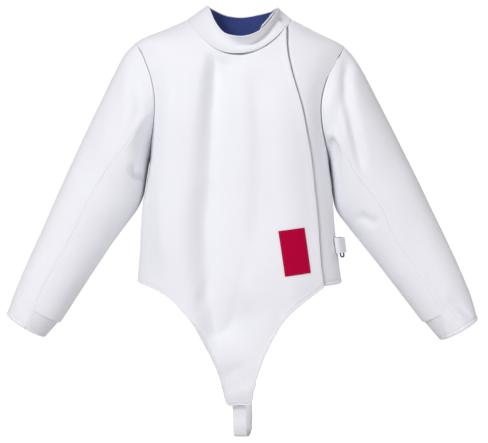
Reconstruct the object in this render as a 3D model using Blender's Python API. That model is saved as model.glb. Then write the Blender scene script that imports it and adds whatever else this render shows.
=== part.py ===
"""Fencing jacket, filled out as it is worn: high collar, flap closing on the wearer's left, long crotch tail.

The front faces -Y, +X is the wearer's left and +Z is up. The origin lies at the base of the neck, level
with the two points where the shoulder seams meet the collar. Tables and sizes are in millimetres.
"""

from collections import namedtuple

import bpy
import numpy as np

MM = 0.001
WALL = 2.2
SEAM_GAP = 0.3
LAYER_GAP = 0.8

# Body sections. The half width and the two depths are measured at one height, from the middle of the neck.
# A section's outline is a superellipse, and squareness is its power.
BodySection = namedtuple("BodySection", "name z half_width middle_x front_depth back_depth squareness")
BODY = (
    BodySection("neck point", 0.0, 104.0, 0.0, 41.0, 52.0, 2.1),
    BodySection("upper shoulder", -22.0, 149.0, 0.0, 59.0, 84.0, 2.15),
    BodySection("shoulder tip", -50.0, 207.0, 0.0, 78.0, 100.0, 2.2),
    BodySection("upper chest", -84.0, 214.0, 0.0, 95.0, 108.0, 2.25),
    BodySection("chest", -130.0, 205.0, 0.0, 106.0, 114.0, 2.3),
    BodySection("bust", -180.0, 192.0, 0.0, 113.0, 116.0, 2.3),
    BodySection("armpit", -280.0, 178.0, -1.0, 113.0, 110.0, 2.3),
    BodySection("ribs", -330.0, 184.0, -2.5, 110.0, 103.0, 2.3),
    BodySection("waist", -374.0, 190.0, -4.5, 107.0, 98.0, 2.35),
    BodySection("tab level", -416.0, 193.0, -4.5, 106.0, 97.0, 2.35),
    BodySection("hip", -470.0, 197.5, -2.5, 105.0, 98.0, 2.4),
    BodySection("hem", -525.0, 203.0, -1.0, 105.0, 101.0, 2.4),
    BodySection("upper tail", -600.0, 203.0, 0.0, 102.0, 101.0, 2.4),
    BodySection("lower tail", -690.0, 203.0, 0.0, 90.0, 101.0, 2.4),
    BodySection("tail end", -757.0, 203.0, 0.0, 66.0, 101.0, 2.4),
)

# The wearer's left shoulder hangs a little and the right one stands up: by how much, and where that starts
# and is full, outwards and upwards.
SHOULDER_TILT = 3.5
TILT_ACROSS = (95.0, 200.0)
TILT_UP = (-240.0, -70.0)

# The neckline is a parabola-like dip in front and behind, and the shoulder seam runs straight to its tip.
NECK_HALF_WIDTH = 104.0
NECK_FRONT_DROP = 83.0
NECK_BACK_DROP = 22.0
NECK_POWER = 2.2
SHOULDER_TIP_Z = -50.0
ARMPIT_Z = -280.0
SIDE_HEM_Z = -522.0
BACK_HEM_Z = -531.0

# The armhole, from the shoulder tip (0) round the front (90) to the armpit (180). Each row gives the height
# and how far each side's seam has turned from the side of the body, in degrees.
ArmholePoint = namedtuple("ArmholePoint", "around z right_turn left_turn")
ARMHOLE = (
    ArmholePoint(0.0, -50.0, 0.0, 0.0),
    ArmholePoint(20.0, -57.0, 20.0, 19.0),
    ArmholePoint(40.0, -78.0, 29.9, 28.6),
    ArmholePoint(60.0, -108.0, 35.3, 36.3),
    ArmholePoint(90.0, -165.0, 35.8, 39.3),
    ArmholePoint(115.0, -212.0, 28.7, 34.4),
    ArmholePoint(140.0, -250.0, 16.5, 23.9),
    ArmholePoint(160.0, -271.0, 7.5, 13.0),
    ArmholePoint(180.0, -280.0, 0.0, 0.0),
)

# The flap's free edge on the wearer's left, as seen from the front.
EdgePoint = namedtuple("EdgePoint", "z x")
FLAP_EDGE = (
    EdgePoint(-22.5, 90.0),
    EdgePoint(-67.5, 89.7),
    EdgePoint(-103.7, 94.0),
    EdgePoint(-134.8, 101.5),
    EdgePoint(-184.4, 114.9),
    EdgePoint(-227.9, 122.8),
    EdgePoint(-275.2, 131.0),
    EdgePoint(-328.9, 137.0),
    EdgePoint(-380.8, 143.0),
    EdgePoint(-438.7, 147.8),
    EdgePoint(-481.1, 150.7),
    EdgePoint(-530.5, 158.5),
)
UNDERLAP_WIDTH = 38.0
FLAP_RAISE = WALL + LAYER_GAP
FLAP_MARGIN = 12.0
FLAP_BLEND = 40.0

# The leg edges of the crotch tail, from the hem at the hip down to the tail's end: height and turn from the
# front of the body, in degrees.
LegPoint = namedtuple("LegPoint", "z turn")
RIGHT_LEG = (
    LegPoint(-522.0, -90.0),
    LegPoint(-524.8, -66.0),
    LegPoint(-532.2, -52.0),
    LegPoint(-541.7, -43.8),
    LegPoint(-553.7, -37.9),
    LegPoint(-576.3, -31.1),
    LegPoint(-599.0, -25.5),
    LegPoint(-644.9, -18.2),
    LegPoint(-691.7, -12.3),
    LegPoint(-757.0, -6.9),
)
LEFT_LEG = (
    LegPoint(-530.5, 47.6),
    LegPoint(-540.3, 43.4),
    LegPoint(-553.6, 36.8),
    LegPoint(-576.1, 28.5),
    LegPoint(-598.9, 22.9),
    LegPoint(-644.8, 15.6),
    LegPoint(-691.7, 10.3),
    LegPoint(-757.0, 5.9),
)
LEG_COLUMNS = 9

# Sleeve sections, from the armhole (0) to the cuff's edge (12): half depth of the right and the left sleeve,
# where the middle lies front to back, and how much of the armhole's own outline the section still follows.
SleeveSection = namedtuple("SleeveSection", "right_depth left_depth middle_y armhole_share")
SLEEVE_SECTIONS = (
    SleeveSection(72.0, 72.0, 0.0, 1.0),
    SleeveSection(86.0, 81.0, 0.0, 0.74),
    SleeveSection(91.0, 84.0, 0.0, 0.5),
    SleeveSection(86.0, 80.0, -1.0, 0.28),
    SleeveSection(78.0, 74.0, -2.0, 0.12),
    SleeveSection(65.0, 65.0, -3.0, 0.03),
    SleeveSection(60.0, 60.0, -4.0, 0.0),
    SleeveSection(55.0, 55.0, -5.0, 0.0),
    SleeveSection(51.0, 51.0, -6.0, 0.0),
    SleeveSection(48.0, 48.0, -8.0, 0.0),
    SleeveSection(45.0, 45.0, -10.0, 0.0),
    SleeveSection(42.0, 42.0, -12.0, 0.0),
    SleeveSection(38.0, 38.0, -13.0, 0.0),
)

# The same sections seen from the front: the outermost and innermost point of each, measured from the middle
# of the jacket, and how far the front seam has crept round towards the armpit, in degrees.
SleeveLine = namedtuple("SleeveLine", "outer_x outer_z inner_x inner_z twist")
SLEEVE_LINES = {
    "right": (
        SleeveLine(207.0, -50.0, 178.0, -280.0, 0.0),
        SleeveLine(228.6, -72.0, 182.0, -292.0, -2.0),
        SleeveLine(248.0, -107.0, 184.8, -308.0, -4.0),
        SleeveLine(269.5, -150.0, 188.2, -328.0, -6.0),
        SleeveLine(295.3, -202.0, 192.8, -352.0, -13.0),
        SleeveLine(324.0, -262.0, 205.8, -380.0, -18.0),
        SleeveLine(351.3, -322.0, 227.8, -410.0, -20.0),
        SleeveLine(374.7, -375.0, 252.2, -443.0, -17.0),
        SleeveLine(394.1, -420.0, 277.0, -480.0, -18.0),
        SleeveLine(415.3, -467.0, 304.7, -522.0, -18.0),
        SleeveLine(433.0, -508.0, 331.7, -564.0, -18.0),
        SleeveLine(449.5, -550.0, 358.0, -604.0, -15.0),
        SleeveLine(462.4, -587.0, 385.0, -635.0, -10.0),
    ),
    "left": (
        SleeveLine(207.0, -50.0, 178.0, -280.0, 0.0),
        SleeveLine(225.8, -72.0, 179.8, -292.0, -14.0),
        SleeveLine(247.0, -107.0, 181.4, -308.0, -18.0),
        SleeveLine(268.9, -150.0, 183.4, -328.0, -21.0),
        SleeveLine(295.5, -202.0, 185.6, -352.0, -25.0),
        SleeveLine(325.6, -262.0, 192.6, -381.0, -31.0),
        SleeveLine(355.2, -322.0, 213.4, -410.0, -36.0),
        SleeveLine(380.2, -375.0, 239.3, -443.0, -31.0),
        SleeveLine(401.9, -420.0, 268.9, -480.0, -29.0),
        SleeveLine(423.9, -467.0, 302.1, -523.0, -31.0),
        SleeveLine(441.7, -508.0, 333.7, -564.0, -28.0),
        SleeveLine(458.3, -550.0, 363.4, -603.0, -23.0),
        SleeveLine(471.5, -597.0, 395.0, -640.0, -3.0),
    ),
}
SLEEVE_STATIONS = (0.0, 0.5, 1.0, 1.5, 2.0, 2.6, 3.2, 3.8, 4.4, 5.0, 6.0, 7.0, 8.0, 9.0, 10.0)
CUFF_STATIONS = (11.0, 11.33, 11.63, 11.66, 12.0)
CUFF_HEM_START = 11.65
CUFF_HEM_RAISE = 1.0
BAND_PINCH = 4.0
MITRE_LIMIT = 0.5
AROUND_STEP = 15

# The two sleeves: which side they are on and where the front seam starts round the armhole, in degrees.
SleeveFit = namedtuple("SleeveFit", "name side front_seam")
SLEEVES = (
    SleeveFit("right", -1, 105),
    SleeveFit("left", 1, 135),
)
BACK_SEAM = 270

FOLD_FADE = 0.3
SLEEVE_FOLD_FACING = (0.1, 0.5)

# Soft folds seen from the front or the back: a line from its upper to its lower end, the half width of the
# fold, and its height, which is negative where the cloth sinks.
Fold = namedtuple("Fold", "face x0 z0 x1 z1 half_width height")
FOLDS = (
    Fold("front", -72.0, -100.0, -100.0, -300.0, 17.0, -7.0),
    Fold("front", -100.0, -290.0, -104.0, -500.0, 17.0, -8.0),
    Fold("front", -118.0, -130.0, -134.0, -470.0, 18.0, 5.0),
    Fold("front", -64.0, -560.0, -26.0, -640.0, 15.0, -4.0),
    Fold("front", -96.0, -520.0, -84.0, -600.0, 12.0, 4.0),
    Fold("back", -60.0, -210.0, -88.0, -470.0, 20.0, -6.0),
    Fold("back", 72.0, -240.0, 84.0, -480.0, 20.0, -5.0),
    Fold("right sleeve", -262.0, -190.0, -318.0, -330.0, 14.0, -4.0),
    Fold("left sleeve", 221.0, -110.0, 246.0, -290.0, 13.0, -8.0),
    Fold("left sleeve", 262.0, -390.0, 300.0, -430.0, 11.0, -3.0),
)

# Collar: its top edge is an ellipse in plan, with its own half widths, depths and heights.
COLLAR_TOP_MIDDLE_X = 3.0
COLLAR_TOP_HALF_RIGHT = 67.0
COLLAR_TOP_HALF_LEFT = 72.0
COLLAR_TOP_FRONT_Y = 88.0
COLLAR_TOP_BACK_Y = 75.0
COLLAR_TOP_SIDE_Z = 31.0
COLLAR_TOP_FRONT_Z = -46.0
COLLAR_TOP_BACK_Z = 22.0
COLLAR_HEIGHTS = np.linspace(0, 1, 5)
COLLAR_HOLLOW = 5.0
COLLAR_WALL = 3.0
COLLAR_PROUD = 0.8
COLLAR_STEP = 7.5
COLLAR_OUTER_END = 60.0
COLLAR_UNDER_END = -330.0
COLLAR_OVER_LIFT = 3.6
COLLAR_RISE_DEG = (-30.0, 15.0)
COLLAR_SINK_DEG = (255.0, 285.0)
LINING_WALL = 0.8
LINING_GAP = 0.5
LINING_START = 7.5
LINING_TOP_SHARE = 0.93

# Crotch strap: its route seen from the side, from behind the tail's end, round below and up to the back hem.
StrapPoint = namedtuple("StrapPoint", "x y z")
STRAP_ROUTE = (
    StrapPoint(-1.5, -72.1, -736.0),
    StrapPoint(-1.5, -63.9, -756.0),
    StrapPoint(-1.0, -58.0, -780.0),
    StrapPoint(-0.5, -55.0, -806.0),
    StrapPoint(1.0, -47.0, -821.0),
    StrapPoint(5.0, -32.0, -826.0),
    StrapPoint(10.0, -16.0, -818.0),
    StrapPoint(12.0, -4.0, -797.0),
    StrapPoint(10.0, 12.0, -750.0),
    StrapPoint(4.0, 42.0, -668.0),
    StrapPoint(-1.0, 74.0, -585.0),
    StrapPoint(-4.0, 96.5, -522.0),
    StrapPoint(-4.0, 96.0, -496.0),
)
STRAP_WIDTH = 26.0
STRAP_WALL = 1.6
STRAP_SAMPLES = 34

# Waist tab: webbing on the wearer's left side. It runs forwards from the back, folds round a slider and
# returns. Each row gives the turn from the front of the body, in degrees, and the height off the cloth.
TabPoint = namedtuple("TabPoint", "turn lift")
TAB_ROUTE = (
    TabPoint(128.0, 1.6),
    TabPoint(112.0, 1.7),
    TabPoint(98.0, 1.8),
    TabPoint(84.0, 1.9),
    TabPoint(74.0, 2.3),
    TabPoint(67.5, 4.5),
    TabPoint(65.5, 8.5),
    TabPoint(67.5, 13.0),
    TabPoint(73.0, 16.0),
    TabPoint(82.0, 17.5),
    TabPoint(92.0, 16.5),
    TabPoint(102.0, 12.0),
    TabPoint(112.0, 7.5),
    TabPoint(120.0, 4.8),
    TabPoint(128.0, 4.0),
)
TAB_MIDDLE_Z = -451.0
TAB_WIDTH = 30.0
TAB_WALL = 1.6
TAB_SAMPLES = 34
SLIDER_MIDDLE = (199.2, -35.2, -453.5)
SLIDER_LENGTH = 41.0
SLIDER_WIDTH = 14.0
SLIDER_CORNER = 4.0
SLIDER_WIRE_RADIUS = 1.5
SLIDER_TURN_DEG = 50.0
SLIDER_TILT_DEG = 8.0

PATCH_MIDDLE = (102.6, -461.6)
PATCH_WIDTH = 48.0
PATCH_HEIGHT = 88.0
PATCH_TILT_DEG = 8.0
PATCH_WALL = 0.9
PATCH_LIFT = 0.6

SHOULDER_ROWS = 4
SIDE_ROWS = 7
RELAX_ROUNDS = 14
ROW_POWER = 1.55
FRONT_FADE_RIGHT = 0.12
FRONT_FADE_FLAP = 0.1
FRONT_FADE_ROWS = (1, 5)
BACK_FADE = 0.16
HEM_WIDTH = 7.0
HEM_STEP = 1.0
HEM_RAISE = 0.9
FREE_HEM_START = (0.0, 8.0)

Finish = namedtuple("Finish", "color roughness metallic")
FINISHES = {
    "cloth": Finish((0.84, 0.84, 0.88), 0.72, 0.0),
    "collar_cloth": Finish((0.80, 0.80, 0.84), 0.74, 0.0),
    "lining": Finish((0.04, 0.06, 0.20), 0.80, 0.0),
    "elastic": Finish((0.78, 0.78, 0.82), 0.65, 0.0),
    "webbing": Finish((0.76, 0.76, 0.81), 0.62, 0.0),
    "patch": Finish((0.45, 0.002, 0.045), 0.70, 0.0),
    "slider": Finish((0.06, 0.06, 0.065), 0.35, 0.9),
}


def smooth_curve(known, values, at):
    """Reads a smooth curve through known points: cubic pieces whose slopes are averaged at each point."""
    known = np.asarray(known, float)
    values = np.asarray(values, float)
    steps = np.diff(known)
    slopes = np.diff(values) / steps
    tangents = np.empty_like(values)
    tangents[1:-1] = (slopes[:-1] * steps[1:] + slopes[1:] * steps[:-1]) / (steps[:-1] + steps[1:])
    tangents[0] = slopes[0]
    tangents[-1] = slopes[-1]
    piece = np.clip(np.searchsorted(known, at) - 1, 0, len(steps) - 1)
    share = (at - known[piece]) / steps[piece]
    rise = values[piece + 1] - values[piece]
    start = tangents[piece] * steps[piece]
    end = tangents[piece + 1] * steps[piece]
    bend = share * (1 - share) * ((1 - share) * (start - rise) - share * (end - rise))
    return values[piece] + share * rise + bend


def column(rows, name):
    """One named column of a table, as an array."""
    return np.array([getattr(row, name) for row in rows])


def ease(value, low, high):
    """0 below low, 1 above high, and a smooth step between them."""
    share = np.clip((value - low) / (high - low), 0.0, 1.0)
    return share * share * (3 - 2 * share)


def body_value(name, z):
    """A body section's value at any height. The table runs downwards, so it is read on -z."""
    return smooth_curve(-column(BODY, "z"), column(BODY, name), -np.asarray(z, float))


def shoulder_tilt(x, z):
    """How far one shoulder hangs below the plain section, and the other stands above it."""
    return SHOULDER_TILT * np.sign(x) * ease(np.abs(x), *TILT_ACROSS) * ease(z, *TILT_UP)


def body_point(z, turn):
    """The point of the body at a height and a turn in radians: 0 in front, half pi at the wearer's left."""
    across = np.sin(turn)
    forward = np.cos(turn)
    power = body_value("squareness", z)
    depth = np.where(forward >= 0, body_value("front_depth", z), body_value("back_depth", z))
    reach = (np.abs(across) ** power + np.abs(forward) ** power) ** (-1 / power)
    x = body_value("half_width", z) * across * reach + body_value("middle_x", z)
    return np.stack([x, -depth * forward * reach, z - shoulder_tilt(x, z)], axis=-1)


def body_field(points, behind):
    """The height and turn of points that lie on the body or close to it."""
    x, y = points[..., 0], points[..., 1]
    z = points[..., 2] + shoulder_tilt(x, points[..., 2])
    depth = np.where(y <= 0, body_value("front_depth", z), body_value("back_depth", z))
    turn = np.arctan2((x - body_value("middle_x", z)) / body_value("half_width", z), -y / depth)
    return field(z, np.mod(turn, 2 * np.pi) if behind else turn)


def body_normal(z, turn):
    """The direction out of the body, from small steps up and round it."""
    step = 0.004
    round_body = body_point(z, turn + step) - body_point(z, turn - step)
    up_body = body_point(z + 0.5, turn) - body_point(z - 0.5, turn)
    normal = np.cross(round_body, up_body)
    return normal / np.linalg.norm(normal, axis=-1, keepdims=True)


def turn_at(x, z, behind=False):
    """The turn at which the body's section at this height passes the given x, in front or behind."""
    power = body_value("squareness", z)
    across = (np.asarray(x, float) - body_value("middle_x", z)) / body_value("half_width", z)
    across = np.clip(across, -1.0, 1.0)
    forward = (1 - np.abs(across) ** power) ** (1 / power)
    if behind:
        return np.mod(np.arctan2(across, -forward), 2 * np.pi)
    return np.arctan2(across, forward)


def neckline(degrees):
    """Height and turn of the neckline at an angle round the neck: 0 in front, 90 at the wearer's left."""
    angle = np.radians(degrees)
    x = NECK_HALF_WIDTH * np.sin(angle)
    behind = np.cos(angle) < -1e-9
    drop = np.where(behind, NECK_BACK_DROP, NECK_FRONT_DROP)
    z = -drop * (1 - np.abs(np.sin(angle)) ** NECK_POWER)
    turn = np.where(behind, turn_at(x, z, behind=True), np.mod(turn_at(x, z) + 2 * np.pi, 2 * np.pi))
    return z, turn


def armhole(around, side):
    """Height and turn away from the side, in radians, of one armhole at angles round it in degrees."""
    near = np.where(around <= 180, around, 360 - around)
    name = "left_turn" if side > 0 else "right_turn"
    z = smooth_curve(column(ARMHOLE, "around"), column(ARMHOLE, "z"), near)
    turn = smooth_curve(column(ARMHOLE, "around"), column(ARMHOLE, name), near)
    return z, np.radians(turn)


def armhole_point(around, side):
    """Points of one armhole and the body's normals there. The front half is 0 to 180 degrees."""
    z, away = armhole(around, side)
    turn = side * (np.pi / 2 - np.where(around <= 180, away, -away))
    return body_point(z, turn), body_normal(z, turn)


def fold_height(face, x, z):
    """The summed height of the soft folds on one face, seen from the front: bell-shaped across each line."""
    total = np.zeros(np.broadcast(x, z).shape)
    for fold in FOLDS:
        if fold.face != face:
            continue
        run = np.array([fold.x1 - fold.x0, fold.z1 - fold.z0])
        length = np.hypot(*run)
        along = ((x - fold.x0) * run[0] + (z - fold.z0) * run[1]) / length
        off = ((x - fold.x0) * run[1] - (z - fold.z0) * run[0]) / length
        fade = length * FOLD_FADE
        ends = ease(along, -fade, fade) * (1 - ease(along, length - fade, length + fade))
        total += fold.height * ends * np.exp(-((off / fold.half_width) ** 2))
    return total


def flap_edge_x(z):
    """How far across the flap's free edge lies at a height, seen from the front."""
    return smooth_curve(-column(FLAP_EDGE, "z"), column(FLAP_EDGE, "x"), -np.asarray(z, float))


def flap_lift(x, z):
    """How far the front lies off the body: nothing on the wearer's right, a wall's thickness by the flap."""
    full = flap_edge_x(z) - UNDERLAP_WIDTH - FLAP_MARGIN
    return FLAP_RAISE * ease(x, full - FLAP_BLEND, full)


def row_shares(count):
    """How far down a panel its rows lie, from 0 to 1. They stand closer together at the shoulder."""
    return np.linspace(0, 1, count) ** ROW_POWER


def patch_between(top, bottom, left, right):
    """Fills a four-sided field between its edges (a Coons patch). Each edge is an array of (z, turn)."""
    down = row_shares(len(left))[:, None, None]
    over = np.linspace(0, 1, len(top))[None, :, None]
    sides = (1 - over) * left[:, None] + over * right[:, None]
    ends = (1 - down) * top[None] + down * bottom[None]
    corners = (1 - down) * ((1 - over) * top[0] + over * top[-1])
    corners = corners + down * ((1 - over) * bottom[0] + over * bottom[-1])
    return sides + ends - corners


def field(z, turn):
    """Height and turn side by side, as one edge or field."""
    return np.stack(np.broadcast_arrays(np.asarray(z, float), turn), axis=-1)


def side_line(side, behind):
    """The long edge of a body panel: shoulder seam, armhole and side seam, from the neck to the hem."""
    turned = np.arange(AROUND_STEP, 181, AROUND_STEP)
    arm_z, away = armhole(turned, side)
    away = -away if behind else away
    z = np.concatenate(
        [
            np.linspace(0, SHOULDER_TIP_Z, SHOULDER_ROWS + 1),
            arm_z,
            np.linspace(ARMPIT_Z, SIDE_HEM_Z, SIDE_ROWS + 1)[1:],
        ]
    )
    away = np.concatenate([np.zeros(SHOULDER_ROWS + 1), away, np.zeros(SIDE_ROWS)])
    return field(z, side * (np.pi / 2 - away))


def relax(grid, behind=False):
    """Evens out a field: each inner point moves again and again to the middle of its four neighbours."""
    even = grid.copy()
    pull = 1 / (np.diff(row_shares(len(grid))) * (len(grid) - 1))[:, None, None]
    above, below = pull[:-1], pull[1:]
    for _ in range(RELAX_ROUNDS):
        points = body_point(even[..., 0], even[..., 1])
        middle = above * points[:-2, 1:-1] + below * points[2:, 1:-1] + points[1:-1, :-2] + points[1:-1, 2:]
        even[1:-1, 1:-1] = body_field(middle / (above + below + 2), behind)
    return even


def with_hem(grid):
    """Adds two rows close above a field's last row, where the hem's band begins."""
    ends = body_point(grid[-2:, :, 0], grid[-2:, :, 1])
    reach = np.linalg.norm(ends[1] - ends[0], axis=-1)[:, None]
    rise = grid[-2] - grid[-1]
    rows = [grid[-1] + rise * (HEM_WIDTH + extra) / reach for extra in (HEM_STEP, 0.0)]
    return np.concatenate([grid[:-1], np.stack(rows), grid[-1:]])


def spread(edge, count, power=1.0):
    """Points along an edge of the body that is given as (z, turn) rows, at even steps if the power is 1."""
    known = np.arange(len(edge))
    fine = np.linspace(0, len(edge) - 1, 200)
    z, turn = (smooth_curve(known, edge[:, axis], fine) for axis in (0, 1))
    lengths = np.linalg.norm(np.diff(body_point(z, turn), axis=0), axis=-1)
    travelled = np.concatenate([[0], np.cumsum(lengths)])
    even = np.linspace(0, 1, count) ** power * travelled[-1]
    return field(np.interp(even, travelled, z), np.interp(even, travelled, turn))


def leg_edge(rows, count):
    """One leg edge of the tail at even steps, from the hip down."""
    return spread(field(column(rows, "z"), np.radians(column(rows, "turn"))), count)


def mesh_object(name, points, faces, finish, home):
    """A mesh object from points in millimetres, in the jacket's collection and under its empty."""
    mesh = bpy.data.meshes.new(name)
    mesh.from_pydata((np.asarray(points) * MM).tolist(), [], [list(map(int, face)) for face in faces])
    mesh.materials.append(finish)
    mesh.shade_smooth()
    mesh.set_sharp_from_angle(angle=np.radians(50))
    obj = bpy.data.objects.new(name, mesh)
    home.collection.objects.link(obj)
    obj.parent = home.empty
    return obj


def cloth_wall(name, outer, inner, finish, home):
    """A closed wall of cloth between two grids of points, the outer one seen with its rows running down."""
    rows, columns = outer.shape[:2]
    shift = rows * columns
    index = np.arange(shift).reshape(rows, columns)
    below = index + shift
    corners = (index[:-1, :-1], index[1:, :-1], index[1:, 1:], index[:-1, 1:])
    faces = []
    for a, b, c, d in zip(*(corner.ravel() for corner in corners)):
        faces += [(a, b, c), (a, c, d)]
        faces += [(a + shift, c + shift, b + shift), (a + shift, d + shift, c + shift)]
    rims = (
        (index[:, 0], below[:, 0], True),
        (index[:, -1], below[:, -1], False),
        (index[0], below[0], False),
        (index[-1], below[-1], True),
    )
    for edge, under, turned in rims:
        for a, b, c, d in zip(edge[:-1], edge[1:], under[1:], under[:-1]):
            pair = [(a, c, b), (a, d, c)] if turned else [(a, b, c), (a, c, d)]
            faces += pair
    points = np.concatenate([outer.reshape(-1, 3), inner.reshape(-1, 3)])
    return mesh_object(name, points, faces, finish, home)


def pull_in(points, edges, gap=SEAM_GAP / 2):
    """Draws the named edges of a grid back from their seams, square to each edge, by half the gap."""
    moved = points.copy()
    views = {
        "top": (points, moved),
        "bottom": (points[::-1], moved[::-1]),
        "left": (points.swapaxes(0, 1), moved.swapaxes(0, 1)),
        "right": (points.swapaxes(0, 1)[::-1], moved.swapaxes(0, 1)[::-1]),
    }
    for edge in edges:
        source, target = views[edge]
        along = np.gradient(source[0], axis=0)
        along /= np.linalg.norm(along, axis=-1, keepdims=True)
        reach = source[1] - source[0]
        reach -= along * (reach * along).sum(axis=-1, keepdims=True)
        target[0] += reach / np.linalg.norm(reach, axis=-1, keepdims=True) * gap
    return moved


def armhole_rim(side):
    """The rims that meet round an armhole.

    Gives the way from the outer edge to the inner one, on the body and on the sleeve, and the half gap from
    the body's edge to the sleeve's. The rims are mitred, but only as far as MITRE_LIMIT in a deep valley.
    """
    fit = next(fit for fit in SLEEVES if fit.side == side)
    around = full_turn()
    seam, body_out = armhole_point(around, side)
    sleeve_out = grid_normals(sleeve_points(fit, [0.0, 0.25], around), side)[0]
    tangent = np.roll(seam, -1, axis=0) - np.roll(seam, 1, axis=0)
    tangent /= np.linalg.norm(tangent, axis=-1, keepdims=True)
    body_way = np.cross(tangent, body_out) * side
    sleeve_way = -np.cross(tangent, sleeve_out) * side
    valley = np.arctan2((sleeve_out * body_way).sum(axis=-1), (sleeve_out * body_out).sum(axis=-1))[:, None]
    reach = np.minimum(np.tan(np.clip(valley, -2.0, 2.0) / 2), MITRE_LIMIT)
    apart = sleeve_way - body_way + (body_out - sleeve_out) * (valley > 0)
    apart /= np.linalg.norm(apart, axis=-1, keepdims=True)
    body_rim = -(body_out + body_way * reach) * WALL
    sleeve_rim = -(sleeve_out + sleeve_way * reach) * WALL
    return body_rim, sleeve_rim, apart * SEAM_GAP / 2


def body_walls(grid, lift, arms, seams):
    """Outer and inner points of a body panel.

    An arm is (column, side, behind): that column's armhole rows meet a sleeve, and its shoulder and side rows
    meet the other body panel in the plane y = 0.
    """
    z, turn = grid[..., 0], grid[..., 1]
    normal = body_normal(z, turn)
    outer = body_point(z, turn) + normal * lift[..., None]
    inner = outer - normal * WALL
    outer, inner = (pull_in(points, seams) for points in (outer, inner))
    last_arm = SHOULDER_ROWS + 180 // AROUND_STEP
    arm_rows = slice(SHOULDER_ROWS, last_arm + 1)
    for at, side, behind in arms:
        around = np.arange(0, 181, AROUND_STEP)
        turned = ((360 - around) if behind else around) // AROUND_STEP % (360 // AROUND_STEP)
        rim, _, apart = (values[turned] for values in armhole_rim(side))
        inner[arm_rows, at] = outer[arm_rows, at] + rim
        way = SEAM_GAP / 2 * (1 if behind else -1)
        for points in (outer, inner):
            points[arm_rows, at] -= apart
            points[: SHOULDER_ROWS + 1, at, 1] += way
            points[last_arm:, at, 1] += way
    return outer, inner


def raise_hem(outer, grid, share=1.0):
    """Thickens a panel's hem band outwards, or a share of it at each column."""
    outer[-2:] += body_normal(grid[-2:, :, 0], grid[-2:, :, 1]) * HEM_RAISE * np.reshape(share, (1, -1, 1))
    return outer


def back_mask(rows, columns):
    """1 inside the back and 0 along its edges, so that folds die out before the seams."""
    fades = []
    for count in (rows, columns):
        share = np.linspace(0, 1, count)
        fades.append(ease(share, 0, BACK_FADE) * ease(1 - share, 0, BACK_FADE))
    return fades[0][:, None] * fades[1][None]


def front_mask(rows, columns):
    """1 inside the main front and 0 along its neckline and sides, so that folds die out before the seams."""
    across = np.linspace(0, 1, columns)
    fade_over = ease(across, 0, FRONT_FADE_RIGHT) * ease(1 - across, 0, FRONT_FADE_FLAP)
    return ease(np.arange(rows), *FRONT_FADE_ROWS)[:, None] * fade_over[None]


def front_grid():
    """The main front's field, from the neckline to the leg edges and the tail's end."""
    necks = np.arange(-90, COLLAR_OUTER_END + 1, COLLAR_STEP)
    top = field(*neckline(necks))
    top[:, 1] = (top[:, 1] + np.pi) % (2 * np.pi) - np.pi
    left = side_line(-1, False)
    flap_z = np.linspace(FLAP_EDGE[0].z, FLAP_EDGE[-1].z, 40)
    right = spread(field(flap_z, turn_at(flap_edge_x(flap_z), flap_z)), len(left), ROW_POWER)
    right[0] = top[-1]
    leg_right = leg_edge(RIGHT_LEG, LEG_COLUMNS + 1)
    leg_left = leg_edge(LEFT_LEG, LEG_COLUMNS + 1)[::-1]
    end_columns = len(necks) - 2 * (LEG_COLUMNS + 1)
    share = np.linspace(0, 1, end_columns + 2)[1:-1, None]
    end = (1 - share) * leg_right[-1] + share * leg_left[0]
    bottom = np.concatenate([leg_right, end, leg_left])
    bottom[0] = left[-1]
    bottom[-1] = right[-1]
    return relax(patch_between(top, bottom, left, right))


def build_front_main(home, finish):
    """The wearer's right front with the flap across to the left and the crotch tail below, in one cut."""
    grid = with_hem(front_grid())
    base = body_point(grid[..., 0], grid[..., 1])
    lift = flap_lift(base[..., 0], base[..., 2])
    lift = lift + fold_height("front", base[..., 0], base[..., 2]) * front_mask(*grid.shape[:2])
    outer, inner = body_walls(grid, lift, [(0, -1, False)], ("top",))
    cloth_wall("front_main", raise_hem(outer, grid), inner, finish, home)


def build_front_under(home, finish):
    """The wearer's left front, whose inner edge lies hidden under the flap."""
    necks = np.arange(COLLAR_OUTER_END / 2, 91, COLLAR_STEP)
    top = field(*neckline(necks))
    right = side_line(1, False)
    edge_z = np.linspace(top[0, 0], FLAP_EDGE[-1].z, 40)
    under_edge = turn_at(flap_edge_x(edge_z) - UNDERLAP_WIDTH, edge_z)
    left = spread(field(edge_z, under_edge), len(right), ROW_POWER)
    left[0] = top[0]
    share = np.linspace(0, 1, len(necks))[:, None]
    hem = (1 - share) * left[-1] + share * right[-1]
    grid = with_hem(relax(patch_between(top, hem, left, right)))
    outer, inner = body_walls(grid, np.zeros(grid.shape[:2]), [(-1, 1, False)], ("top",))
    free = outer[-1, :, 0] - flap_edge_x(outer[-1, :, 2])
    cloth_wall("front_under", raise_hem(outer, grid, ease(free, *FREE_HEM_START)), inner, finish, home)


def build_back(home, finish):
    """The back, in one piece from the wearer's left side seam round to the right one."""
    necks = np.arange(90, 271, COLLAR_STEP)
    top = field(*neckline(necks))
    top[0, 1] = np.pi / 2
    top[-1, 1] = 3 * np.pi / 2
    left = side_line(1, True)
    right = side_line(-1, True)
    right[:, 1] += 2 * np.pi
    share = np.linspace(0, 1, len(necks))[:, None]
    hem = (1 - share) * left[-1] + share * right[-1]
    hem[:, 0] += (BACK_HEM_Z - SIDE_HEM_Z) * np.sin(np.pi * share[:, 0]) ** 2
    grid = with_hem(relax(patch_between(top, hem, left, right), behind=True))
    base = body_point(grid[..., 0], grid[..., 1])
    lift = fold_height("back", base[..., 0], base[..., 2]) * back_mask(*grid.shape[:2])
    outer, inner = body_walls(grid, lift, [(0, 1, True), (-1, -1, True)], ("top",))
    cloth_wall("back", raise_hem(outer, grid), inner, finish, home)


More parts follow.
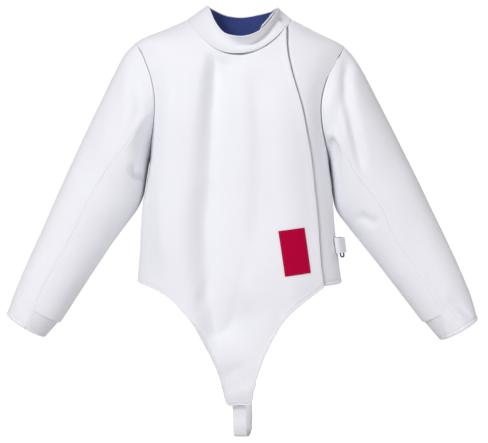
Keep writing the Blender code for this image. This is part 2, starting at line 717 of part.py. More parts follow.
def sleeve_value(rows, name, station):
    """A sleeve table's value at a station, where station 0 is the armhole and 12 the cuff's edge."""
    return smooth_curve(np.arange(len(rows)), column(rows, name), station)


def sleeve_ellipses(fit, stations, around):
    """Plain ellipses at stations along one sleeve. Angle 0 is outermost, 90 in front and 180 innermost."""
    station = np.asarray(stations, float)[:, None]
    lines = {name: sleeve_value(SLEEVE_LINES[fit.name], name, station) for name in SleeveLine._fields}
    middle_y = sleeve_value(SLEEVE_SECTIONS, "middle_y", station)
    half_depth = sleeve_value(SLEEVE_SECTIONS, fit.name + "_depth", station)
    turned = np.asarray(around, float)[None]
    peak = np.log(0.5) / np.log(fit.front_seam / 180)
    creep = lines["twist"] * np.sin(np.pi * np.clip(turned / 180, 0, 1) ** peak)
    angle = np.radians(turned + creep)
    x = (lines["outer_x"] + lines["inner_x"]) / 2 + np.cos(angle) * (lines["outer_x"] - lines["inner_x"]) / 2
    z = (lines["outer_z"] + lines["inner_z"]) / 2 + np.cos(angle) * (lines["outer_z"] - lines["inner_z"]) / 2
    y = middle_y - np.sin(angle) * half_depth
    return np.stack([x * fit.side, y, z], axis=-1)


def sleeve_points(fit, stations, around):
    """Points of one sleeve's outside: its ellipses, drawn out to the armhole near the top."""
    share = sleeve_value(SLEEVE_SECTIONS, "armhole_share", np.asarray(stations, float))[:, None, None]
    seam, _ = armhole_point(np.asarray(around), fit.side)
    return sleeve_ellipses(fit, stations, around) + share * (seam - sleeve_ellipses(fit, [0.0], around)[0])


def grid_normals(points, side):
    """Directions out of a tube whose columns run right round, from steps along it and round it."""
    along = np.gradient(points, axis=0)
    along[0] = points[1] - points[0]
    round_tube = np.roll(points, -1, axis=1) - np.roll(points, 1, axis=1)
    normal = np.cross(round_tube, along) * side
    return normal / np.linalg.norm(normal, axis=-1, keepdims=True)


def full_turn():
    """The angles round a sleeve at which its columns stand, without the repeated last one."""
    return np.arange(0, 360, AROUND_STEP)


def sleeve_walls(fit, stations, thickness=WALL):
    """Outer and inner points right round one sleeve, with its folds and a mitred top at the armhole."""
    around = full_turn()
    outer = sleeve_points(fit, stations, around)
    normal = grid_normals(outer, fit.side)
    height = fold_height(f"{fit.name} sleeve", outer[..., 0], outer[..., 2])
    facing = ease(-normal[..., 1], *SLEEVE_FOLD_FACING)
    outer = outer + normal * (height * facing)[..., None]
    inner = outer - normal * thickness
    if np.isclose(stations[0], 0):
        _, rim, apart = armhole_rim(fit.side)
        outer[0] += apart
        inner[0] = outer[0] + rim
    return outer, inner


def pick_columns(points, first, last):
    """The columns of a full turn from one angle to another, which may pass 360 degrees or start below 0."""
    columns = [(angle // AROUND_STEP) % (360 // AROUND_STEP) for angle in range(first, last + 1, AROUND_STEP)]
    return points[:, columns]


def orient(grid, side):
    """Turns a mirrored sleeve's columns round, so that its wall faces outwards."""
    return grid[:, ::-1] if side > 0 else grid


def build_sleeve(fit, home, finish, band_finish):
    """One sleeve: the upper piece down to the hem, the under piece, and the elastic band that ends it."""
    stations = [*SLEEVE_STATIONS, *CUFF_STATIONS]
    outer, inner = sleeve_walls(fit, stations)
    normal = grid_normals(outer, fit.side)
    hemmed = np.array([station >= CUFF_HEM_START for station in stations])
    upper_outer = outer + normal * (CUFF_HEM_RAISE * hemmed)[:, None, None]
    pieces = [pick_columns(grid, BACK_SEAM - 360, fit.front_seam) for grid in (upper_outer, inner)]
    pieces = [pull_in(orient(grid, fit.side), ("left", "right")) for grid in pieces]
    cloth_wall(f"sleeve_{fit.name}_upper", *pieces, finish, home)

    band_top = len(SLEEVE_STATIONS)
    pieces = [pick_columns(grid[: band_top + 1], fit.front_seam, BACK_SEAM) for grid in (outer, inner)]
    pieces = [pull_in(orient(grid, fit.side), ("bottom", "left", "right")) for grid in pieces]
    cloth_wall(f"sleeve_{fit.name}_under", *pieces, finish, home)

    pieces = [pick_columns(grid[band_top:], fit.front_seam, BACK_SEAM) for grid in (outer, inner)]
    across = np.linspace(-1, 1, pieces[0].shape[1])
    inwards = pieces[1] - pieces[0]
    inwards /= np.linalg.norm(inwards, axis=-1, keepdims=True)
    pinch = inwards * (BAND_PINCH * (1 - across**2))[None, :, None]
    pieces = [pull_in(orient(grid + pinch, fit.side), ("top", "left", "right")) for grid in pieces]
    cloth_wall(f"cuff_band_{fit.name}", *pieces, band_finish, home)


def collar_surface(angles, heights):
    """The collar's plain surface, from the neckline (0) to its top edge (1), hollowed a little midway."""
    z, turn = neckline(angles)
    base = body_point(z, turn)
    angle = np.radians(angles)
    across = np.sin(angle)
    forward = np.cos(angle)
    half = np.where(across >= 0, COLLAR_TOP_HALF_LEFT, COLLAR_TOP_HALF_RIGHT)
    depth = np.where(forward >= 0, COLLAR_TOP_FRONT_Y, COLLAR_TOP_BACK_Y)
    end_z = np.where(forward >= 0, COLLAR_TOP_FRONT_Z, COLLAR_TOP_BACK_Z)
    top = np.stack(
        [
            COLLAR_TOP_MIDDLE_X + half * across,
            -depth * forward,
            COLLAR_TOP_SIDE_Z + (end_z - COLLAR_TOP_SIDE_Z) * np.abs(forward),
        ],
        axis=-1,
    )
    share = np.asarray(heights, float)[:, None, None]
    outward = np.stack([across, -forward, np.zeros_like(across)], axis=-1)
    hollow = COLLAR_HOLLOW * np.clip(forward, 0, 1)[None, :, None] * np.sin(np.pi * share)
    return base[None] + (top - base)[None] * share - outward[None] * hollow


def collar_normals(points):
    """Directions out of the collar. Its columns run backwards round the neck, from the outer end."""
    up = np.gradient(points, axis=0)
    round_neck = np.gradient(points, axis=1)
    normal = np.cross(up, round_neck)
    return normal / np.linalg.norm(normal, axis=-1, keepdims=True)


def collar_level(angles):
    """How far the collar's outside stands off its plain surface: most at its outer end, none at the other."""
    over = COLLAR_PROUD + (COLLAR_OVER_LIFT - COLLAR_PROUD) * ease(angles, *COLLAR_RISE_DEG)
    return over - COLLAR_PROUD * ease(-angles, *COLLAR_SINK_DEG)


def build_collar(home, finish):
    """The stand collar, one band from its outer end on the flap right round the neck to its under end."""
    angles = np.arange(COLLAR_OUTER_END, COLLAR_UNDER_END - 1, -COLLAR_STEP)
    heights = COLLAR_HEIGHTS[::-1]
    points = collar_surface(angles, heights)
    normal = -collar_normals(points)
    level = collar_level(angles)[None, :, None]
    outer = points + normal * level
    inner = outer - normal * COLLAR_WALL
    outer, inner = (pull_in(grid, ("bottom",), SEAM_GAP) for grid in (outer, inner))
    cloth_wall("collar", outer[:, ::-1], inner[:, ::-1], finish, home)


def build_collar_lining(home, finish):
    """The coloured lining inside the collar, from just past the under end's cover right round to that end."""
    angles = np.arange(LINING_START, COLLAR_UNDER_END - 1, -COLLAR_STEP)
    heights = np.minimum(COLLAR_HEIGHTS, LINING_TOP_SHARE)[::-1]
    points = collar_surface(angles, heights)
    normal = -collar_normals(points)
    level = (collar_level(angles) - COLLAR_WALL - LINING_GAP)[None, :, None]
    outer = points + normal * level
    inner = outer - normal * LINING_WALL
    outer, inner = (pull_in(grid, ("bottom",), SEAM_GAP) for grid in (outer, inner))
    cloth_wall("collar_lining", outer[:, ::-1], inner[:, ::-1], finish, home)


def ribbon_route(points, samples):
    """Evenly numbered points on a smooth curve through a route's own points."""
    known = np.asarray(points, float)
    lengths = np.concatenate([[0], np.cumsum(np.linalg.norm(np.diff(known, axis=0), axis=1))])
    at = np.linspace(0, lengths[-1], samples)
    return np.stack([smooth_curve(lengths, known[:, axis], at) for axis in range(known.shape[1])], axis=-1)


def build_crotch_strap(home, finish):
    """Elastic strap from the tail's end, round below in a loop and up to the back hem, flat across x."""
    route = ribbon_route(STRAP_ROUTE, STRAP_SAMPLES)
    along = np.gradient(route, axis=0)
    across = np.array([1.0, 0.0, 0.0])
    out = np.cross(along, across)
    out /= np.linalg.norm(out, axis=-1, keepdims=True)
    halves = np.array([-0.5, 0.5]) * STRAP_WIDTH
    middle = route[:, None] + across * halves[None, :, None]
    outer = middle + out[:, None] * STRAP_WALL / 2
    inner = middle - out[:, None] * STRAP_WALL / 2
    cloth_wall("crotch_strap", outer, inner, finish, home)


def build_waist_tab(home, finish):
    """Webbing on the wearer's left side, folded forwards round the slider, its two ends laid together."""
    known = np.arange(len(TAB_ROUTE))
    at = np.linspace(0, len(TAB_ROUTE) - 1, TAB_SAMPLES)
    turn = np.radians(smooth_curve(known, column(TAB_ROUTE, "turn"), at))
    lift = smooth_curve(known, column(TAB_ROUTE, "lift"), at)[:, None]
    outer = []
    inner = []
    for level in (0.5, 0.0, -0.5):
        z = np.full(TAB_SAMPLES, TAB_MIDDLE_Z + level * TAB_WIDTH)
        route = body_point(z, turn) + body_normal(z, turn) * lift
        along = np.gradient(route, axis=0)
        out = np.stack([along[:, 1], -along[:, 0], np.zeros(TAB_SAMPLES)], axis=-1)
        out /= np.linalg.norm(out, axis=-1, keepdims=True)
        outer.append(route + out * TAB_WALL / 2)
        inner.append(route - out * TAB_WALL / 2)
    cloth_wall("waist_tab", np.stack(outer), np.stack(inner), finish, home)


def build_slider(home, finish):
    """The slider: a wire ring with rounded corners, standing upright inside the folded tab."""
    turn = np.radians(SLIDER_TURN_DEG)
    tilt = np.radians(SLIDER_TILT_DEG)
    wide = np.array([np.cos(turn), np.sin(turn), 0.0])
    tall = np.array([-np.sin(tilt), 0.0, np.cos(tilt)])
    half_width = SLIDER_WIDTH / 2 - SLIDER_WIRE_RADIUS - SLIDER_CORNER
    half_length = SLIDER_LENGTH / 2 - SLIDER_WIRE_RADIUS - SLIDER_CORNER
    points = []
    for corner, (across, up) in enumerate(((1, 1), (-1, 1), (-1, -1), (1, -1))):
        for step in range(4):
            angle = np.radians(90 * corner + 30 * step)
            u = across * half_width + SLIDER_CORNER * np.cos(angle)
            v = up * half_length + SLIDER_CORNER * np.sin(angle)
            points.append(np.array(SLIDER_MIDDLE) + wide * u + tall * v)
    curve = bpy.data.curves.new("waist_slider", "CURVE")
    curve.dimensions = "3D"
    curve.bevel_depth = SLIDER_WIRE_RADIUS * MM
    curve.bevel_resolution = 2
    spline = curve.splines.new("POLY")
    spline.points.add(len(points) - 1)
    for target, point in zip(spline.points, points):
        target.co = (*(point * MM), 1.0)
    spline.use_cyclic_u = True
    curve.materials.append(finish)
    obj = bpy.data.objects.new("waist_slider", curve)
    home.collection.objects.link(obj)
    obj.parent = home.empty


def build_patch(home, finish):
    """The plain woven patch near the hip, made from the front's own points, moved out."""
    tilt = np.radians(PATCH_TILT_DEG)
    u = np.linspace(-0.5, 0.5, 5)[None] * PATCH_WIDTH
    v = np.linspace(0.5, -0.5, 9)[:, None] * PATCH_HEIGHT
    x = PATCH_MIDDLE[0] + u * np.cos(tilt) - v * np.sin(tilt)
    z = PATCH_MIDDLE[1] + u * np.sin(tilt) + v * np.cos(tilt)
    turn = turn_at(x, z)
    normal = body_normal(z, turn)
    base = body_point(z, turn) + normal * flap_lift(x, z)[..., None]
    inner = base + normal * PATCH_LIFT
    outer = inner + normal * PATCH_WALL
    cloth_wall("hip_patch", outer, inner, finish, home)


def make_finish(name):
    """A material with the piece's colour, roughness and metallic value."""
    finish = FINISHES[name]
    material = bpy.data.materials.new(name)
    material.use_nodes = True
    shader = material.node_tree.nodes["Principled BSDF"]
    shader.inputs["Base Color"].default_value = (*finish.color, 1.0)
    shader.inputs["Roughness"].default_value = finish.roughness
    shader.inputs["Metallic"].default_value = finish.metallic
    return material


def main():
    """Clears the scene and builds the jacket's pieces under one empty."""
    for obj in list(bpy.data.objects):
        bpy.data.objects.remove(obj)
    Home = namedtuple("Home", "collection empty")
    collection = bpy.data.collections.new("fencing_jacket")
    bpy.context.scene.collection.children.link(collection)
    empty = bpy.data.objects.new("jacket", None)
    collection.objects.link(empty)
    home = Home(collection, empty)
    finishes = {name: make_finish(name) for name in FINISHES}

    build_front_main(home, finishes["cloth"])
    build_front_under(home, finishes["cloth"])
    build_back(home, finishes["cloth"])
    for fit in SLEEVES:
        build_sleeve(fit, home, finishes["cloth"], finishes["elastic"])
    build_collar(home, finishes["collar_cloth"])
    build_collar_lining(home, finishes["lining"])
    build_crotch_strap(home, finishes["elastic"])
    build_waist_tab(home, finishes["webbing"])
    build_slider(home, finishes["slider"])
    build_patch(home, finishes["patch"])


main()
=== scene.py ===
"""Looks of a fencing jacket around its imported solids: cloth panels, seams, stitching, finishes, light and camera.

The front faces -Y, +X is the wearer's left and +Z is up. Tables and sizes are in millimetres, and meshes are
made in metres. A grid of points has its rows running down and its columns to the right, seen from outside.
"""

from __future__ import annotations

import logging
from dataclasses import dataclass, field
from enum import Enum

import bpy
import numpy as np
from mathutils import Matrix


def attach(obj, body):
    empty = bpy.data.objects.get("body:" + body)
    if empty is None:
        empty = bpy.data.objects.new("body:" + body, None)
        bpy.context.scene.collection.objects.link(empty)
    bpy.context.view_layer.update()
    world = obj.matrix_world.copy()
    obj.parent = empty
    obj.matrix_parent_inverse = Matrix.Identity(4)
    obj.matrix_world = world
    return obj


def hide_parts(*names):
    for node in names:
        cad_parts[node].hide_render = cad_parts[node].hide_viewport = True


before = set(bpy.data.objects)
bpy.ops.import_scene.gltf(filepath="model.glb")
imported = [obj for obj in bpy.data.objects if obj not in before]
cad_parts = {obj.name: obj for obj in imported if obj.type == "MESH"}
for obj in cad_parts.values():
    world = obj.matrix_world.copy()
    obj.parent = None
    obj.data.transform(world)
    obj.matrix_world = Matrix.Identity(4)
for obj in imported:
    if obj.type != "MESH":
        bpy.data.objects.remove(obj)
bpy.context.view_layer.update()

LOG = logging.getLogger("jacket")
MM = 0.001
CLOTH = 1.3
UV_NAME = "cloth"
Array = np.ndarray


def ease(value: Array, low: float, high: float) -> Array:
    """0 below low, 1 above high, and a smooth step between them."""
    share = np.clip((value - low) / (high - low), 0.0, 1.0)
    return share * share * (3 - 2 * share)


def unit(vectors: Array) -> Array:
    """The vectors along the last axis, each divided by its length."""
    return vectors / np.maximum(np.linalg.norm(vectors, axis=-1, keepdims=True), 1e-9)


def smooth_curve(known: Array, values: Array, at: Array) -> Array:
    """Reads a smooth curve: cubic pieces through known points, whose slopes there are averages.

    Args:
        known: where the points lie, in rising order.
        values: the value at each of them.
        at: where the curve is read.

    Returns:
        The curve's values.
    """
    known, values, at = (np.asarray(item, float) for item in (known, values, at))
    steps = np.diff(known)
    slopes = np.diff(values) / steps
    middle = (slopes[:-1] * steps[1:] + slopes[1:] * steps[:-1]) / (steps[:-1] + steps[1:])
    tangents = np.concatenate([slopes[:1], middle, slopes[-1:]])
    piece = np.clip(np.searchsorted(known, at) - 1, 0, len(steps) - 1)
    share = (at - known[piece]) / steps[piece]
    rise = values[piece + 1] - values[piece]
    start, end = tangents[piece] * steps[piece], tangents[piece + 1] * steps[piece]
    bend = share * (1 - share) * ((1 - share) * (start - rise) - share * (end - rise))
    return values[piece] + share * rise + bend


@dataclass(frozen=True)
class Table:
    """A short table of numbers with named columns, read smoothly along its first column, which rises."""

    names: tuple[str, ...]
    rows: tuple[tuple[float, ...], ...]

    def column(self, name: str) -> Array:
        """One column as an array."""
        return np.array(self.rows)[:, self.names.index(name)]

    def read(self, name: str, at: Array) -> Array:
        """One column's values at places along the first."""
        return smooth_curve(self.column(self.names[0]), self.column(name), at)


class Side(Enum):
    """The wearer's sides, with the sign of x there."""

    RIGHT = -1
    LEFT = 1

    @property
    def word(self) -> str:
        """The side's name in lower case."""
        return self.name.lower()


class Face(Enum):
    """Where a fold lies. Each is seen from the front, apart from the back."""

    FRONT = "front"
    UNDER = "under"
    BACK = "back"
    RIGHT_SLEEVE = "right sleeve"
    LEFT_SLEEVE = "left sleeve"


class Edge(Enum):
    """The edges of a panel's grid."""

    TOP = "top"
    BOTTOM = "bottom"
    START = "start"
    END = "end"


@dataclass(frozen=True)
class Fold:
    """A soft fold along a line of (x, z) points.

    The profile is a bell whose half width differs on the two sides of the line, left and right of its way
    down, and starts at a share of its full size. The height is negative where the cloth sinks, and both ends
    fade out over a share of the length.
    """

    face: Face
    line: tuple[tuple[float, float], ...]
    left: float
    right: float
    height: float
    fade: float = 0.25
    narrow: float = 1.0

    def rise(self, x: Array, z: Array) -> Array:
        """How far the cloth stands off at each point, from its distance to the nearest part of the line."""
        line = np.array(self.line)
        runs = np.diff(line, axis=0)
        lengths = np.linalg.norm(runs, axis=1)
        starts = np.concatenate([[0.0], np.cumsum(lengths)[:-1]])
        total = lengths.sum()
        away = np.stack([x, z], axis=-1)[..., None, :] - line[:-1]
        along = (away * runs).sum(axis=-1) / lengths
        first = np.arange(len(runs)) == 0
        last = np.arange(len(runs)) == len(runs) - 1
        low, high = np.where(first, -total, 0.0), np.where(last, total + lengths, lengths)
        held = np.clip(along, low, high)
        off = away - held[..., None] * runs / lengths[:, None]
        far = np.linalg.norm(off, axis=-1)
        side = away[..., 0] * runs[:, 1] - away[..., 1] * runs[:, 0]
        near = far.argmin(axis=-1)[..., None]
        far = np.take_along_axis(far, near, -1)[..., 0]
        side = np.take_along_axis(side, near, -1)[..., 0]
        place = np.take_along_axis(starts + held, near, -1)[..., 0]
        width = self.left + (self.right - self.left) * ease(np.where(side < 0, far, -far), -4.0, 4.0)
        width = width * (self.narrow + (1 - self.narrow) * ease(place, 0.0, total * 0.5))
        soft = total * self.fade
        ends = ease(place, -soft, soft) * (1 - ease(place, total - soft, total + soft))
        return self.height * ends * np.exp(-((far / width) ** 2))


@dataclass(frozen=True)
class Creases:
    """All folds of the jacket, and a little unevenness that every cloth has."""

    folds: tuple[Fold, ...] = (
        Fold(
            Face.FRONT,
            ((-44, -84), (-48, -115), (-51, -153), (-54, -191), (-57, -267), (-60, -343), (-66, -400), (-66, -457),
             (-62, -524), (-54, -580), (-42, -640)),
            26, 60, -25.0, 0.08, 0.6,
        ),
        Fold(Face.FRONT, ((-98, -120), (-118, -215)), 12, 12, 2.0),
        Fold(Face.FRONT, ((-119, -130), (-121, -190), (-123, -240)), 10, 16, -2.5),
        Fold(Face.FRONT, ((-136, -150), (-146, -250), (-148, -343), (-144, -430), (-138, -490)), 26, 56, 11.0, 0.2),
        Fold(Face.FRONT, ((34, -110), (38, -200), (40, -300), (36, -400), (30, -450)), 22, 34, -8.5, 0.15),
        Fold(Face.FRONT, ((12, -476), (2, -514), (-7, -552), (-15, -587)), 9, 14, -2.8, 0.15),
        Fold(Face.FRONT, ((-62, -512), (-72, -545), (-84, -575)), 8, 12, -2.5),
        Fold(Face.FRONT, ((-84, -526), (-86, -545)), 7, 7, 2.0, 0.4),
        Fold(Face.FRONT, ((-68, -616), (-46, -622), (-26, -612), (-14, -592)), 14, 9, -3.4, 0.2),
        Fold(Face.FRONT, ((10, -560), (2, -620), (-2, -690), (-2, -722)), 36, 36, -9.0, 0.2),
        Fold(Face.UNDER, ((176, -472), (186, -480)), 8, 8, -1.5),
        Fold(Face.BACK, ((-60, -210), (-74, -340), (-88, -470)), 26, 16, -6.0),
        Fold(Face.BACK, ((72, -240), (80, -360), (84, -480)), 16, 26, -5.0),
        Fold(Face.BACK, ((-10, -300), (-2, -430), (4, -500)), 22, 22, -2.4),
        Fold(Face.BACK, ((-120, -120), (-136, -210)), 14, 20, -3.0),
        Fold(Face.BACK, ((118, -120), (134, -220)), 20, 14, -3.0),
        Fold(Face.RIGHT_SLEEVE, ((-236, -110), (-240, -200), (-250, -270)), 18, 18, -2.2),
        Fold(Face.RIGHT_SLEEVE, ((-262, -190), (-290, -260), (-318, -330)), 16, 16, -2.0),
        Fold(Face.RIGHT_SLEEVE, ((-188, -190), (-191, -236), (-197, -282)), 13, 13, 2.5, 0.25),
        Fold(Face.RIGHT_SLEEVE, ((-204, -120), (-193, -180), (-190, -240), (-194, -280)), 16, 16, -7.0, 0.15),
        Fold(Face.RIGHT_SLEEVE, ((-208, -298), (-208, -312), (-199, -320), (-190, -316)), 5, 5, -9.0, 0.3),
        Fold(Face.RIGHT_SLEEVE, ((-197, -302), (-194, -308)), 6, 6, 3.0, 0.4),
        Fold(
            Face.LEFT_SLEEVE,
            ((212, -92), (207, -126), (209, -166), (217, -204), (227, -252), (238, -300)),
            13, 10, -10.0, 0.12,
        ),
        Fold(Face.LEFT_SLEEVE, ((192, -160), (184, -210), (180, -255), (181, -290)), 15, 15, -6.0, 0.15),
        Fold(Face.LEFT_SLEEVE, ((234, -392), (266, -408)), 10, 9, -5.0),
        Fold(Face.LEFT_SLEEVE, ((330, -420), (370, -500), (398, -572)), 16, 14, -2.2),
        Fold(Face.LEFT_SLEEVE, ((412, -556), (450, -586)), 8, 7, -5.0, 0.3),
        Fold(Face.LEFT_SLEEVE, ((398, -566), (430, -606)), 8, 6, -4.0, 0.3),
    )
    uneven: float = 0.12
    waves: tuple[tuple[float, float, float], ...] = (
        (0.021, 0.017, 0.4),
        (-0.027, 0.024, 1.9),
        (0.044, 0.013, 3.1),
        (0.016, -0.051, 4.6),
    )

    def rise(self, face: Face, points: Array) -> Array:
        """The summed height of one face's folds, and a slight waviness made of four crossing ripples."""
        x, y, z = points[..., 0], points[..., 1], points[..., 2]
        total = sum((fold.rise(x, z) for fold in self.folds if fold.face is face), np.zeros(x.shape))
        ripples = sum(np.sin((x + y) * a * 2 + z * b * 2 + phase) for a, b, phase in self.waves)
        return total + self.uneven * ripples


@dataclass(frozen=True)
class JacketForm:
    """The form that the body and sleeves are cut to.

    A body section is a superellipse: |sin|^p + |cos|^p along each direction, scaled by the half width and by
    the front or back depth. Turn 0 is in front and a quarter turn is the wearer's left.
    """

    sections: Table = Table(
        ("below", "half_width", "middle_x", "front_depth", "back_depth", "squareness"),
        (
            (0.0, 104.0, 0.0, 41.0, 52.0, 2.1),
            (22.0, 149.0, 0.0, 59.0, 84.0, 2.15),
            (50.0, 207.0, 0.0, 78.0, 100.0, 2.2),
            (84.0, 214.0, 0.0, 95.0, 108.0, 2.25),
            (130.0, 205.0, 0.0, 106.0, 114.0, 2.3),
            (180.0, 192.0, 0.0, 113.0, 116.0, 2.3),
            (280.0, 178.0, -1.0, 113.0, 110.0, 2.3),
            (330.0, 184.0, -2.5, 110.0, 103.0, 2.3),
            (374.0, 190.0, -4.5, 107.0, 98.0, 2.35),
            (416.0, 193.0, -4.5, 106.0, 97.0, 2.35),
            (470.0, 197.5, -2.5, 105.0, 98.0, 2.4),
            (525.0, 203.0, -1.0, 105.0, 101.0, 2.4),
            (600.0, 203.0, 0.0, 102.0, 101.0, 2.4),
            (690.0, 203.0, 0.0, 90.0, 101.0, 2.4),
            (757.0, 203.0, 0.0, 66.0, 101.0, 2.4),
        ),
    )
    armholes: Table = Table(
        ("around", "z", "right", "left"),
        (
            (0.0, -50.0, 0.0, 0.0),
            (20.0, -57.0, 20.0, 19.0),
            (40.0, -78.0, 29.9, 28.6),
            (60.0, -108.0, 35.3, 36.3),
            (90.0, -165.0, 35.8, 39.3),
            (115.0, -212.0, 28.7, 34.4),
            (140.0, -250.0, 16.5, 23.9),
            (160.0, -271.0, 7.5, 13.0),
            (180.0, -280.0, 0.0, 0.0),
        ),
    )
    flap_edge: Table = Table(
        ("below", "x"),
        (
            (22.5, 90.0),
            (67.5, 89.7),
            (103.7, 94.0),
            (134.8, 101.5),
            (184.4, 114.9),
            (227.9, 122.8),
            (275.2, 131.0),
            (328.9, 137.0),
            (380.8, 143.0),
            (438.7, 147.8),
            (481.1, 150.7),
            (530.5, 158.5),
        ),
    )
    tilt_height: float = 3.5
    tilt_across: tuple[float, float] = (95.0, 200.0)
    tilt_up: tuple[float, float] = (-240.0, -70.0)
    neck_half_width: float = 104.0
    neck_front_drop: float = 83.0
    neck_back_drop: float = 22.0
    neck_power: float = 2.2
    shoulder_tip_z: float = -50.0
    armpit_z: float = -280.0
    side_hem_z: float = -522.0
    back_hem_z: float = -531.0
    underlap_width: float = 38.0
    flap_raise: float = 3.0
    flap_margin: float = 12.0
    fullness: float = 6.0
    full_middle: float = 140.0
    full_widths: tuple[float, float] = (80.0, 60.0)
    flap_blend: float = 40.0
    flap_curl: float = 2.0
    curl_width: float = 16.0

    def value(self, name: str, z: Array) -> Array:
        """A body section's value at a height."""
        return self.sections.read(name, -np.asarray(z, float))

    def tilt(self, x: Array, z: Array) -> Array:
        """How far the wearer's left shoulder hangs below the plain section, and the right one stands above."""
        return self.tilt_height * np.sign(x) * ease(np.abs(x), *self.tilt_across) * ease(z, *self.tilt_up)

    def point(self, z: Array, turn: Array) -> Array:
        """The body's point at a height and a turn in radians."""
        across, forward = np.sin(turn), np.cos(turn)
        power = self.value("squareness", z)
        depth = np.where(forward >= 0, self.value("front_depth", z), self.value("back_depth", z))
        reach = (np.abs(across) ** power + np.abs(forward) ** power) ** (-1 / power)
        x = self.value("half_width", z) * across * reach + self.value("middle_x", z)
        return np.stack([x, -depth * forward * reach, z - self.tilt(x, z)], axis=-1)

    def field_of(self, points: Array, behind: bool) -> Array:
        """The height and turn of points that lie on the body or close to it."""
        x, y = points[..., 0], points[..., 1]
        z = points[..., 2] + self.tilt(x, points[..., 2])
        depth = np.where(y <= 0, self.value("front_depth", z), self.value("back_depth", z))
        turn = np.arctan2((x - self.value("middle_x", z)) / self.value("half_width", z), -y / depth)
        return edge_field(z, np.mod(turn, 2 * np.pi) if behind else turn)

    def normal(self, z: Array, turn: Array) -> Array:
        """The direction out of the body, from small steps round it and up it."""
        step = 0.004
        round_body = self.point(z, turn + step) - self.point(z, turn - step)
        up_body = self.point(z + 0.5, turn) - self.point(z - 0.5, turn)
        return unit(np.cross(round_body, up_body))

    def turn_at(self, x: Array, z: Array, behind: bool = False) -> Array:
        """The turn at which the section at a height passes x, in front or behind."""
        power = self.value("squareness", z)
        across = np.clip((x - self.value("middle_x", z)) / self.value("half_width", z), -1.0, 1.0)
        forward = (1 - np.abs(across) ** power) ** (1 / power)
        return np.mod(np.arctan2(across, -forward), 2 * np.pi) if behind else np.arctan2(across, forward)

    def neckline(self, degrees: Array) -> tuple[Array, Array]:
        """Height and turn of the neckline at angles round the neck, a dip in front and a smaller one behind."""
        angle = np.radians(degrees)
        behind = np.cos(angle) < -1e-9
        drop = np.where(behind, self.neck_back_drop, self.neck_front_drop)
        x = self.neck_half_width * np.sin(angle)
        z = -drop * (1 - np.abs(np.sin(angle)) ** self.neck_power)
        front = np.mod(self.turn_at(x, z) + 2 * np.pi, 2 * np.pi)
        return z, np.where(behind, self.turn_at(x, z, True), front)

    def armhole(self, around: Array, side: Side) -> tuple[Array, Array]:
        """Height of an armhole and its turn away from the side, at angles from the shoulder round the front."""
        near = np.where(around <= 180, around, 360 - around)
        return self.armholes.read("z", near), np.radians(self.armholes.read(side.word, near))

    def armhole_point(self, around: Array, side: Side) -> Array:
        """Points of one armhole. The front half is 0 to 180 degrees."""
        z, away = self.armhole(around, side)
        return self.point(z, side.value * (np.pi / 2 - np.where(around <= 180, away, -away)))

    def full_front(self, x: Array, z: Array) -> Array:
        """How far the left of the chest stands out: a bell across it that fades out at the top and the hem."""
        width = np.where(x < self.full_middle, self.full_widths[0], self.full_widths[1])
        bell = np.exp(-(((x - self.full_middle) / width) ** 2))
        return self.fullness * bell * ease(z, -590.0, -480.0) * ease(-z, 40.0, 130.0)

    def flap_edge_x(self, z: Array) -> Array:
        """How far across the flap's free edge lies at a height."""
        return self.flap_edge.read("x", -np.asarray(z, float))

    def flap_lift(self, x: Array, z: Array) -> Array:
        """How far the front lies off the body: more as it rises onto the underlap, and at its edge."""
        full = self.flap_edge_x(z) - self.underlap_width - self.flap_margin
        curl = ease(x, self.flap_edge_x(z) - self.curl_width, self.flap_edge_x(z))
        return self.flap_raise * ease(x, full - self.flap_blend, full) + self.flap_curl * curl


def edge_field(z: Array, turn: Array) -> Array:
    """Height and turn side by side, as one edge or field."""
    return np.stack(np.broadcast_arrays(np.asarray(z, float), turn), axis=-1)


def resample(values: Array, places: Array) -> Array:
    """Reads a grid between its rows, by a cubic through each column whose slopes are central differences.

    Args:
        values: the grid, rows by columns by numbers.
        places: the rows to read in each column, which may be fractions.

    Returns:
        A grid with as many rows as places has.
    """
    base = np.clip(places.astype(int), 0, len(values) - 2)
    share = (places - base)[..., None]
    columns = np.arange(values.shape[1])[None]
    slopes = np.gradient(values, axis=0)
    rise = values[base + 1, columns] - values[base, columns]
    start, end = slopes[base, columns] - rise, slopes[base + 1, columns] - rise
    return values[base, columns] + share * (rise + (1 - share) * ((1 - share) * start - share * end))


def denser(values: Array, down: int, over: int) -> Array:
    """A grid with each cell cut into down by over cells."""
    for factor in (down, over):
        rows, columns = values.shape[:2]
        places = np.repeat(np.linspace(0, rows - 1, (rows - 1) * factor + 1)[:, None], columns, axis=1)
        values = resample(values, places).swapaxes(0, 1)
    return values


def grid_normals(points: Array) -> Array:
    """Directions out of a grid: the step down crossed with the step to the right."""
    return unit(np.cross(np.gradient(points, axis=0), np.gradient(points, axis=1)))


@dataclass(frozen=True)
class EdgeRow:
    """One line of points along an edge: its distance from the edge and depth, outside and inside."""

    reach: float
    drop: float
    inner_reach: float
    inner_drop: float


@dataclass(frozen=True)
class EdgeFinish:
    """How a panel ends at an edge: its lines of points from the inside out, and which of them is sewn."""

    rows: tuple[EdgeRow, ...]
    sewn: int | None = None

    def index(self, edge: Edge, count: int) -> int:
        """The grid row or column of the sewn line, where the grid has that many."""
        if edge in (Edge.TOP, Edge.START):
            return len(self.rows) - 1 - self.sewn
        return count - len(self.rows) + self.sewn


def edge_rows(*rows: tuple[float, float, float, float]) -> tuple[EdgeRow, ...]:
    """Edge rows from plain numbers."""
    return tuple(EdgeRow(*row) for row in rows)


